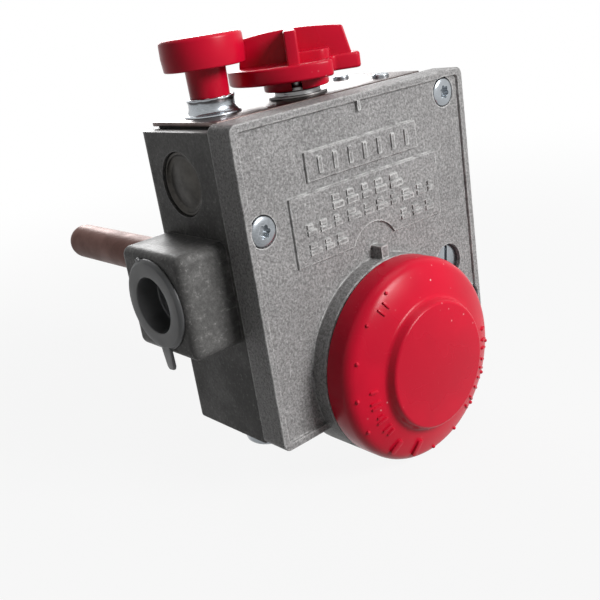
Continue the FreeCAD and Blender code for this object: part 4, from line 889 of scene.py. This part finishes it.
def build_clip():
    """The spring clip round the collar: a flat open ring."""
    base, top = span("stem_clip", "z")
    at = middle("stem_bushing")
    x, y = at.x / MM, at.y / MM
    gap = 15.5      # half of the ring's opening, in degrees
    outline = arc((x, y), 9.3, gap, 360 - gap, 60) + arc((x, y), 7.45, 360 - gap - 2, gap + 2, 60)
    clip = soften(prism("clip", outline, "xy", base, top - 0.05), 0.18 * MM, 3, 50)
    finish(clip, "housing", "stem_clip", "spring_steel")


def build_tube(settings):
    """The copper tube: drawn tube with a spun, rounded end and a rolled flange inside the shank."""
    start_y, end_y = span("sensing_tube", "y")
    radius = settings.tube
    centre = Vector((0, 0, 0))
    nose = [(radius * cos(radians(a)), end_y - radius + radius * sin(radians(a)), 0) for a in range(0, 90, 9)]
    inner = [(r - settings.tube_wall * (r / radius), y - 1.0 * (1 - r / radius), 0)
             for r, y, _ in reversed(nose)]
    flange = [(radius - 1, start_y, 0), (radius + 3, start_y, 0.2), (radius + 3, start_y + 1, 0.2),
              (radius, start_y + 1, 0.2)]
    profile = flange + nose + [(0, end_y, 0), (0, end_y - 1.0, 0)] + inner + flange[:1]
    tube = turned("probe_tube", profile, "y", centre, 96, 3)
    finish(tube, "housing", "sensing_tube", "copper", 40)


def build_shank(settings):
    """The shank that screws into the tank, with its thread cut in a screw line."""
    start_y, end_y = span("tank_shank", "y")
    radius = span("tank_shank", "x")[1]
    centre = Vector((0, 0, 0))
    pitch, deep = settings.pitch, settings.pitch * 0.6
    thread = line_through("thread", [((radius - deep) * MM, (1.0 - 2 * pitch) * MM, 0),
                                     (radius * MM, (1.0 - 1.55 * pitch) * MM, 0),
                                     (radius * MM, (1.0 - 1.45 * pitch) * MM, 0),
                                     ((radius - deep) * MM, (1.0 - pitch) * MM, 0)])
    settle(thread)
    turns = int((end_y - 1.0) / pitch) + 4
    apply_modifier(thread, "SCREW", axis="Y", steps=72, render_steps=72, angle=2 * pi,
                   screw_offset=pitch * MM, iterations=turns, use_merge_vertices=True,
                   merge_threshold=0.00001)
    only(thread)
    bpy.ops.object.mode_set(mode="EDIT")
    for place, inside in ((end_y - 0.01, True), (1.0, False)):
        bpy.ops.mesh.select_all(action="SELECT")
        bpy.ops.mesh.bisect(plane_co=(0, place * MM, 0), plane_no=(0, 1, 0), use_fill=True,
                            clear_outer=inside, clear_inner=not inside)
    bpy.ops.object.mode_set(mode="OBJECT")
    clean(thread)
    envelope = turned("envelope", [(0, 1.02, 0), (radius + 1, 1.02, 0), (radius + 1, end_y - 2.6, 0),
                                   (radius - deep - 0.2, end_y, 0), (0, end_y, 0)], "y", centre, 96)
    combine(thread, [envelope], "INTERSECT")
    root = radius - deep + 0.05
    profile = [(0, start_y, 0), (12.4, start_y, 0.2), (12.4, 0.02, 0), (radius - 0.4, 0.02, 0.2),
               (radius - 0.4, 1.6, 0.3), (root, 2.2, 0), (root, end_y - 1.2, 0.3),
               (radius - deep - 0.9, end_y - 0.02, 0.3), (0, end_y - 0.02, 0)]
    core = turned("shank_core", profile, "y", centre, 96, 3)
    combine(thread, [core])
    profile = [(0, start_y - 1, 0), (8.06, start_y - 1, 0), (8.06, end_y - 0.8, 0), (9.0, end_y + 1, 0),
               (0, end_y + 1, 0)]
    bore = turned("bore", profile, "y", centre, 96)
    combine(thread, [bore], "DIFFERENCE")
    finish(thread, "housing", "tank_shank", "zinc_steel")


def hex_fitting(name, node, flats, hex_low, hex_high, collars, mouth, slot):
    """A hexagonal fitting along Z: chamfered hexagon, turned collars, and a bore with a chamfered mouth."""
    at = middle(node)
    corner = flats / 3 ** 0.5
    piece = rod(name, 6, corner, hex_high - hex_low, (at.x, at.y, (hex_low + hex_high) / 2 * MM),
                (0, 0, radians(90)))
    lens = turned("lens", [(0, hex_low - 0.01, 0), (flats / 2 - 0.4, hex_low - 0.01, 0.3),
                           (corner, hex_low + 1.7, 0.3), (corner + 1, hex_low + 2.4, 0),
                           (corner + 1, hex_high + 0.01, 0), (0, hex_high + 0.01, 0)], "z", at, 96, 3)
    combine(piece, [lens], "INTERSECT")
    soften(piece, 0.25 * MM, 2, 50)
    combine(piece, [turned("collar", profile, "z", at, 96, 3) for profile in collars])
    combine(piece, [turned("bore", mouth, "z", at, 96, 3)], "DIFFERENCE")
    finish(piece, "housing", node, slot, 35)


def build_underside():
    """The fittings below the body: the magnet's nut, the burner outlet and the pilot outlet."""
    nut_low, nut_top = span("magnet_nut", "z")
    base = nut_low + NUT_DROP
    collar = [(0, nut_low, 0), (8.4, nut_low, 1.6), (8.4, base - 6.5, 0), (0, base - 6.5, 0)]
    root = [(0, base - 0.4, 0), (8.9, base - 0.4, 0), (8.9, nut_top, 0.3), (0, nut_top, 0)]
    mouth = [(0, nut_low - 1, 0), (5.2, nut_low - 1, 0), (4.2, nut_low + 0.9, 0), (4.2, base, 0),
             (1.85, base + 0.6, 0), (1.85, nut_top + 1, 0), (0, nut_top + 1, 0)]
    hex_fitting("magnet_hex", "magnet_nut", 20.0, base - 7.0, base, [collar, root], mouth, "zinc_steel")
    low, high = span("burner_outlet", "z")
    root = [(0, base - 0.4, 0), (11.95, base - 0.4, 0), (11.95, high, 0.3), (0, high, 0)]
    mouth = [(0, low - 1, 0), (11.0, low - 1, 0), (9.4, low + 1.4, 0), (9.4, base, 0), (3.95, base + 0.4, 0),
             (3.95, high + 1, 0), (0, high + 1, 0)]
    hex_fitting("burner_hex", "burner_outlet", 27.0, low, base, [root], mouth, "zinc_steel")
    low, high = span("pilot_outlet", "z")
    root = [(0, base - 0.4, 0), (5.4, base - 0.4, 0), (5.4, high, 0.2), (0, high, 0)]
    mouth = [(0, low - 1, 0), (5.4, low - 1, 0), (4.4, low + 1.0, 0), (4.4, base, 0), (1.65, base + 0.8, 0),
             (1.65, high + 1, 0), (0, high + 1, 0)]
    hex_fitting("pilot_hex", "pilot_outlet", 13.0, low, base, [root], mouth, "brass")


def paint_nodes():
    """Gives every CAD node the finish of its material slot."""
    slots = {row["node"]: row["material_slot"] for row in frame["record"]["subparts"]}
    for node, piece in frame["nodes"].items():
        piece.data.materials.clear()
        piece.data.materials.append(finishes.made[slots[node]])


# ---- operators ------------------------------------------------------------------------------------------

class GASVALVE_OT_finishes(bpy.types.Operator):
    """Makes the materials and paints the CAD nodes with them"""
    bl_idname = "gasvalve.finishes"
    bl_label = "Finishes"

    def execute(self, context):
        global finishes
        finishes = Finishes()
        make_materials(context.scene.gasvalve_finish)
        paint_nodes()
        return {"FINISHED"}


class GASVALVE_OT_dial(bpy.types.Operator):
    """Builds the temperature dial"""
    bl_idname = "gasvalve.dial"
    bl_label = "Temperature dial"

    def execute(self, context):
        build_dial(context.scene.gasvalve_dial)
        return {"FINISHED"}


class GASVALVE_OT_button(bpy.types.Operator):
    """Builds the reset button and its collar"""
    bl_idname = "gasvalve.button"
    bl_label = "Reset button"

    def execute(self, context):
        build_button(context.scene.gasvalve_button)
        build_ferrule()
        return {"FINISHED"}


class GASVALVE_OT_knob(bpy.types.Operator):
    """Builds the gas knob, its collar and its clip"""
    bl_idname = "gasvalve.knob"
    bl_label = "Gas knob"

    def execute(self, context):
        build_knob(context.scene.gasvalve_knob)
        build_bushing()
        build_clip()
        return {"FINISHED"}


class GASVALVE_OT_inlet(bpy.types.Operator):
    """Builds the dust plug in the gas inlet"""
    bl_idname = "gasvalve.inlet"
    bl_label = "Dust plug"

    def execute(self, context):
        build_dust_plug()
        return {"FINISHED"}


class GASVALVE_OT_fittings(bpy.types.Operator):
    """Builds the screws, the side plug, the regulator cap, the top plate and the fittings below"""
    bl_idname = "gasvalve.fittings"
    bl_label = "Fittings"

    def execute(self, context):
        build_cover_screws()
        build_side_plug()
        build_regulator_cap()
        build_top_plate()
        build_underside()
        return {"FINISHED"}


class GASVALVE_OT_probe(bpy.types.Operator):
    """Builds the copper tube and its threaded shank"""
    bl_idname = "gasvalve.probe"
    bl_label = "Probe"

    def execute(self, context):
        build_tube(context.scene.gasvalve_probe)
        build_shank(context.scene.gasvalve_probe)
        return {"FINISHED"}


class GASVALVE_OT_stage(bpy.types.Operator):
    """Sets the floor, the lights, the world and the camera"""
    bl_idname = "gasvalve.stage"
    bl_label = "Stage"

    def execute(self, context):
        build_floor()
        build_lights()
        build_world()
        build_camera()
        context.scene.view_settings.view_transform = "Standard"
        return {"FINISHED"}


def white_to_camera(g, lit, strength):
    """Shows plain white to the camera and in reflections, and the given shader to everything else."""
    path = g.node("ShaderNodeLightPath")
    seen = g.math("MAXIMUM", path.outputs["Is Camera Ray"],
                  g.math("MAXIMUM", path.outputs["Is Glossy Ray"], path.outputs["Is Transmission Ray"]))
    mixed = g.node("ShaderNodeMixShader")
    g.link(g.math("MULTIPLY", seen, strength), mixed.inputs["Fac"])
    g.link(lit, mixed.inputs[1])
    return mixed


def build_floor():
    """A wide pale floor just under the valve, almost white to the camera, that keeps the shadow."""
    bpy.ops.object.select_all(action="DESELECT")
    bpy.ops.mesh.primitive_plane_add(size=8.0, location=(0, 0, CAD_BOX[0].z - 0.0005))
    floor = settle(bpy.context.object)
    floor.name = "floor"
    material = bpy.data.materials.new("floor_white")
    material.use_nodes = True
    material.node_tree.nodes.clear()
    g = Graph(material.node_tree)
    out = g.node("ShaderNodeOutputMaterial")
    diffuse = g.node("ShaderNodeBsdfDiffuse")
    diffuse.inputs["Color"].default_value = (0.32, 0.32, 0.32, 1)
    glow = g.node("ShaderNodeEmission")
    glow.inputs["Color"].default_value = (1, 1, 1, 1)
    glow.inputs["Strength"].default_value = 1.0
    geometry = g.node("ShaderNodeNewGeometry")
    reach = g.node("ShaderNodeVectorMath", operation="LENGTH")
    g.link(geometry.outputs["Position"], reach.inputs[0])
    whiteness = g.between(reach.outputs["Value"], 0.15, 0.60, 0.9, 1.0)
    mixed = white_to_camera(g, diffuse.outputs["BSDF"], whiteness)
    g.link(glow.outputs["Emission"], mixed.inputs[2])
    g.link(mixed.outputs["Shader"], out.inputs["Surface"])
    floor.data.materials.append(material)


def area_light(name, place, target, size, power, colour=(1, 1, 1)):
    bpy.ops.object.light_add(type="AREA", location=place)
    lamp = bpy.context.object
    lamp.name = name
    lamp.data.size = size
    lamp.data.energy = power
    lamp.data.color = colour
    lamp.rotation_euler = (Vector(target) - Vector(place)).to_track_quat("-Z", "Y").to_euler()
    return lamp


def build_lights():
    centre = (0, -0.02, 0.02)
    area_light("key", (0.30, -0.93, 0.54), centre, 0.42, 14.5)
    area_light("top", (0.25, -0.20, 0.85), centre, 0.5, 1.6)
    area_light("rear", (0.50, 0.85, 0.45), centre, 0.6, 9.0)


def build_world():
    world = bpy.data.worlds.new("studio")
    bpy.context.scene.world = world
    world.use_nodes = True
    world.node_tree.nodes.clear()
    g = Graph(world.node_tree)
    out = g.node("ShaderNodeOutputWorld")
    dim = g.node("ShaderNodeBackground")
    dim.inputs["Color"].default_value = (1, 1, 1, 1)
    dim.inputs["Strength"].default_value = 0.05
    white = g.node("ShaderNodeBackground")
    white.inputs["Color"].default_value = (1, 1, 1, 1)
    white.inputs["Strength"].default_value = 1.0
    mixed = white_to_camera(g, dim.outputs["Background"], 1.0)
    g.link(white.outputs["Background"], mixed.inputs[2])
    g.link(mixed.outputs["Shader"], out.inputs["Surface"])


def build_camera():
    """A camera at the left of the dial, above it and close, held a little tilted."""
    data = bpy.data.cameras.new("camera")
    data.sensor_width = 36.0
    data.lens = 51.04
    camera = bpy.data.objects.new("camera", data)
    camera.location = (-0.1768, -0.2291, 0.0953)
    camera.rotation_euler = (radians(70.54), radians(8.62), radians(-41.28))
    bpy.context.scene.collection.objects.link(camera)
    bpy.context.scene.camera = camera


STEPS = ("finishes", "dial", "button", "knob", "inlet", "fittings", "probe", "stage")


class GASVALVE_PT_panel(bpy.types.Panel):
    """Lists the valve's operators"""
    bl_idname = "GASVALVE_PT_panel"
    bl_label = "Gas Valve"
    bl_space_type = "VIEW_3D"
    bl_region_type = "UI"
    bl_category = "Gas Valve"

    def draw(self, context):
        for step in STEPS:
            self.layout.operator(f"gasvalve.{step}")


CLASSES = (FinishSettings, DialSettings, KnobSettings, ProbeSettings, ButtonSettings, GASVALVE_OT_finishes,
           GASVALVE_OT_dial, GASVALVE_OT_button, GASVALVE_OT_knob, GASVALVE_OT_inlet, GASVALVE_OT_fittings,
           GASVALVE_OT_probe, GASVALVE_OT_stage, GASVALVE_PT_panel)
SETTINGS = {"gasvalve_finish": FinishSettings, "gasvalve_dial": DialSettings, "gasvalve_knob": KnobSettings,
            "gasvalve_probe": ProbeSettings, "gasvalve_button": ButtonSettings}


def register():
    for item in CLASSES:
        bpy.utils.register_class(item)
    for name, kind in SETTINGS.items():
        setattr(bpy.types.Scene, name, bpy.props.PointerProperty(type=kind))


def unregister():
    for name in SETTINGS:
        delattr(bpy.types.Scene, name)
    for item in reversed(CLASSES):
        bpy.utils.unregister_class(item)


def main():
    register()
    for step in STEPS:
        getattr(bpy.ops.gasvalve, step)()


if __name__ == "__main__":
    main()
